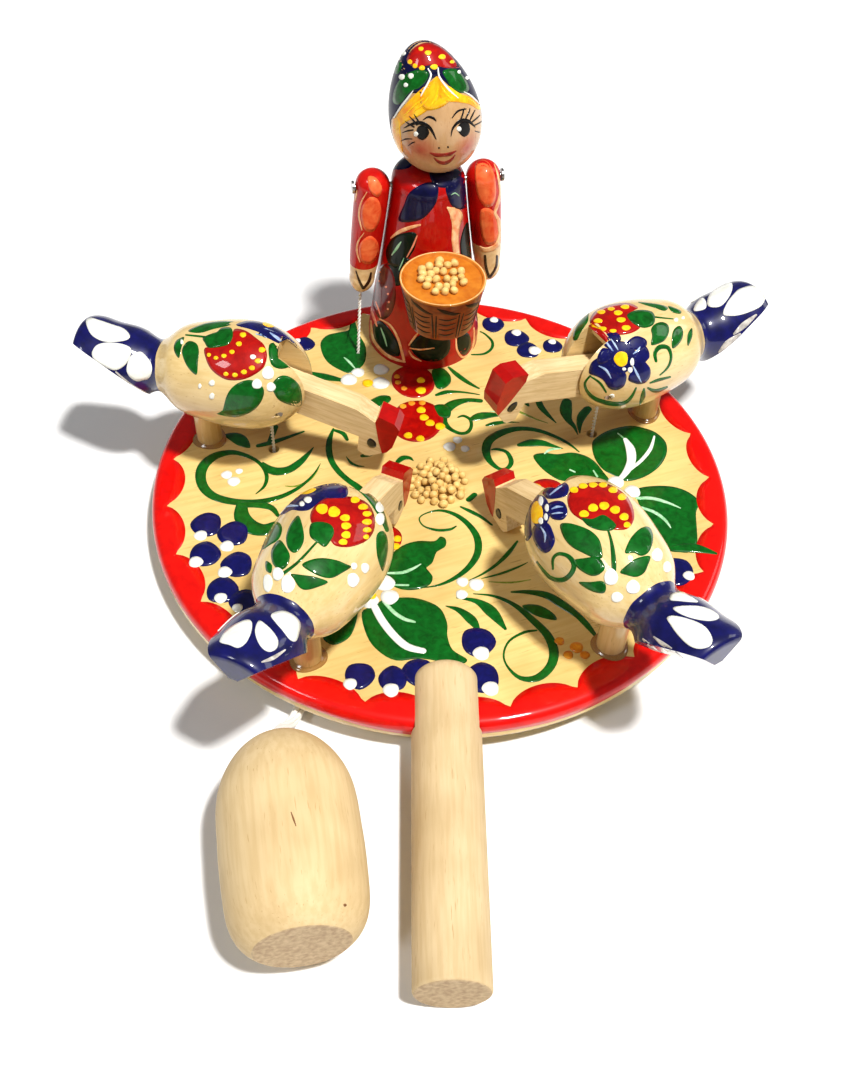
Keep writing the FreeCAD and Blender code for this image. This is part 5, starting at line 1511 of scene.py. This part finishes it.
def scarf():
    """The headscarf: all of the head outside the face and hair, as one film."""
    opening = []
    for px, py in ((437, 76), (428, 83), (421, 94), (412, 93), (404, 104), (397, 113), (391, 123), (389, 130),
                   (447, 84), (455, 95), (463, 93), (471, 96), (480, 105)):
        away = head_spot(px, py, 0) - HEAD_MIDDLE
        out = away.normalized()
        opening.append((math.atan2(out.z, out.dot(FACE_LEFT)) % (2 * math.pi), math.acos(out.dot(FACE_AHEAD))))
    opening += [(math.pi * 1.06, 1.42), (math.pi * 1.25, 1.5), (math.pi * 1.5, 1.42), (math.pi * 1.75, 1.5),
                (math.pi * 1.94, 1.42)]
    opening.sort()
    points = []
    faces = []
    count, rows = 144, 26
    for i in range(count):
        turn_round = 2 * math.pi * i / count
        k = sum(1 for a, _ in opening if a <= turn_round)
        (a0, o0), (a1, o1) = opening[k - 1], opening[k % len(opening)]
        span = (a1 - a0) % (2 * math.pi) or 1.0
        off = o0 + (o1 - o0) * ((turn_round - a0) % (2 * math.pi)) / span
        for lift in (SCARF_FILM, -SCARF_FILM):
            for row in range(rows):
                points.append(head_place(turn_round, off + (math.pi - 0.02 - off) * row / (rows - 1), lift))
    for i in range(count):
        a, b = i * rows * 2, (i + 1) % count * rows * 2
        for k in range(rows - 1):
            faces.append((a + k, b + k, b + k + 1, a + k + 1))
            faces.append((a + rows + k, a + rows + k + 1, b + rows + k + 1, b + rows + k))
        faces.append((a, a + rows, b + rows, b))
    faces.append(tuple(i * rows * 2 + rows - 1 for i in range(count)))
    faces.append(tuple(i * rows * 2 + 2 * rows - 1 for i in reversed(range(count))))
    mesh_piece("headscarf", points, faces, "base", deep_navy)


scarf()
hair = enamel("hair_yellow", tint(236, 140, 6), tint(252, 206, 30), streaks=260.0)
paint("hair", "base", hair, head_spot, FACE_LIFT, strokes("""
437,79,5 431,93,19 416,107,19 403,117,12 396,127,6
437,81,5 446,93,15 459,98,9 470,101,7 479,108,4
396,121,7 397,135,8 401,151,4
""", across=8) + patches("""
436,79 446,88 451,99 440,108 425,110 420,100 425,90
"""))
paint("hair_lights", "base", yellow, head_spot, HAIR_LIGHT_LIFT, strokes("""
438,86,.6 436,98,3 430,106,1
441,86,.6 446,94,2.6 452,100,.8
424,98,.6 414,106,2.2 405,115,.8
430,95,.5 422,105,2 412,113,.6
466,97,.4 472,101,1.6 477,106,.5
""", across=2))
paint("scarf_leaves", "base", green, head_spot, SCARF_LEAF_LIFT, patches("""
393,101 396,86 405,75 418,70 428,72 427,80 419,88 410,92 400,104
443,71 455,69 464,77 469,89 463,93 453,89 446,79
391,70 396,62 402,64 398,74
"""))
paint("scarf_flower", "base", berry_red, head_spot, SCARF_FLOWER_LIFT, patches("""
407,61 412,50 425,43 440,46 452,55 460,67 446,68 431,65 417,68
"""))
paint("scarf_seeds", "base", yellow, head_spot, SCARF_DAB_LIFT, dots("""
421,49,2.6,.8
428,53,3.4,.7
442,57,3.6,.7
452,62,2.4,.7
410,62,2.4
415,66,2.4
422,68,3,.8
434,67,3.8,.7
"""))
paint("scarf_whites", "base", white, head_spot, SCARF_DAB_LIFT, dots("""
403,53,2.8
398,59,2
402,77,2.9
411,76,2.8
406,85,2.2
459,72,1.8
467,78,1.8
""") + strokes("""
428,69,1 431,75,1.8 428,83,1.8 424,90,1.7 421,96,.8
438,68,1 439,76,1.8 444,84,1.8 450,91,1.7 458,98,.8
413,91,.8 408,98,1.9 401,107,2 394,118,1.2
464,92,.8 471,96,1.6 479,104,.9
""", across=2))
face_black = enamel("face_black", tint(4, 3, 3), tint(12, 9, 8), streaks=900.0, coat=0.15)
paint("face_lines", "base", face_black, head_spot, FACE_LIFT, strokes("""
404,128,.8 412,124,2.6 421,123,4 430,128,3.2 436,139,1
405,121,.5 409,124,1.6 414,127,1.6
409,116,.5 413,120,1.6 417,125,1.6
414,114,.5 417,119,1.6 420,124,1.6
402,133,.5 407,131,1.4 413,130,1.4
423,120,.6 428,117,2 433,118,2.6 436,121,1
401,141,.6 406,139,1.4 412,139,.7
408,146,.5 412,143,1.2 415,142,.6
451,136,.8 453,128,2 460,121,3.4 468,121,3.4 475,127,1
452,118,.8 458,111,1.9 466,109,1.2
461,119,1.4 463,113,1.5 464,108,.5
466,118,1.4 469,112,1.5 470,108,.5
470,120,1.4 473,114,1.5 475,110,.5
472,122,1.4 477,118,1.4 480,115,.5
475,125,1.2 479,123,1.2 482,121,.5
475,131,.7 478,132,1 480,132,.5
""", across=2) + dots("""
422.5,132.5,6.4,1.15
464,129,6.2,1.2
439,148,.9
448,147,.9
"""))
paint("eye_glints", "base", white, head_spot, EYE_GLINT_LIFT, dots("""
416,134,2.3,1.1
459,129,2.3,1.1
"""))
lips = enamel("lip_red", tint(112, 14, 10), tint(150, 32, 24), streaks=500.0)
paint("lips", "base", lips, head_spot, FACE_LIFT, strokes("""
430,153,1 436,155,3.6 443,155,3.2 450,154,3.6 456,151,1
434,158,1 439,162,3 445,163,3.4 451,160,2.6 455,155,1
""", across=3))

# Arm string: one cotton string from the right hand down through the board. It runs from its hole
# up to the hand, laid as a twisted string in its solid's place.
held_string("arm_string")

# Knot: the five slack strings and the weight's bundle are tied into one lump under the board,
# laid as two interlaced loops drawn tight.
KNOT_TUBE = 0.62


def tied_knot():
    """Two interlaced loops drawn tight into a ball."""
    scale = (knot_reach - KNOT_TUBE) / 3 * MM
    points = []
    faces = []
    count, sides = 72, 8
    for turn in (Matrix.Rotation(0.3, 3, "X"), Matrix.Rotation(1.5, 3, "X") @ Matrix.Rotation(0.7, 3, "Z")):
        first = len(points)
        spots = [turn @ Vector((math.sin(t) + 2 * math.sin(2 * t), math.cos(t) - 2 * math.cos(2 * t),
                                -1.5 * math.sin(3 * t))) * scale
                 for t in (2 * math.pi * k / count for k in range(count))]
        for k, spot in enumerate(spots):
            ahead = (spots[(k + 1) % count] - spots[k - 1]).normalized()
            u = ahead.cross(spot).normalized()
            v = ahead.cross(u)
            for j in range(sides):
                angle = 2 * math.pi * j / sides
                points.append(knot_middle + spot + (u * math.cos(angle) + v * math.sin(angle)) * KNOT_TUBE * MM)
        for k in range(count):
            faces += band(first + k * sides, first + (k + 1) % count * sides, sides)
    return points, faces


points, faces = tied_knot()
knot = mesh_piece("tied_knot", points, faces, "knot", cotton)
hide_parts("string_knot")

# Weight: a turned barrel of bare linden on a short bundle of cotton strands, which comes up
# from the knot under the rim, over the table and into the barrel's top.
strands = cotton_finish("cotton_bundle", (0.93, 0.91, 0.86), (0.74, 0.71, 0.65), fibre=3000.0)
line = lay_line([(-31.6, -54.2, -2.4), (-33.2, -62.6, -2.4), (-36.6, -72.0, -1.9), (-39.0, -78.2, 6.1),
                 (-37.9, -82.3, 10.5)])
points, faces, length = twisted(line, CORD_THICK, plies=5, lay_length=34 * MM)
bundle = mesh_piece("weight_bundle", points, faces, "hanging_weight", strands)
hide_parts("weight_cord")
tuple(line[0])
WEIGHT_BEARING = math.radians(-80.5)
FLAW_LIFT = 0.03
weight_wood = timber("weight_linden", tint(216, 190, 144), tint(208, 180, 132), tint(186, 152, 102),
                     turn=(0, 0, WEIGHT_BEARING), rough=0.6, lines=800.0)
dress("weight", weight_wood)
end_grain(weight_wood, "weight", Vector((math.cos(WEIGHT_BEARING), math.sin(WEIGHT_BEARING), 0)))
flaw = mottled("weight_flaw", tint(96, 60, 30), tint(140, 96, 52), scale=2000.0, rough=0.7)
paint("weight_flaw", "hanging_weight", flaw, in_sight("weight"), FLAW_LIFT,
      [stroke([(291, 812, 0.8), (293.5, 819, 1.8), (296, 826, 0.8)]), dot(345, 905, 1.6)])
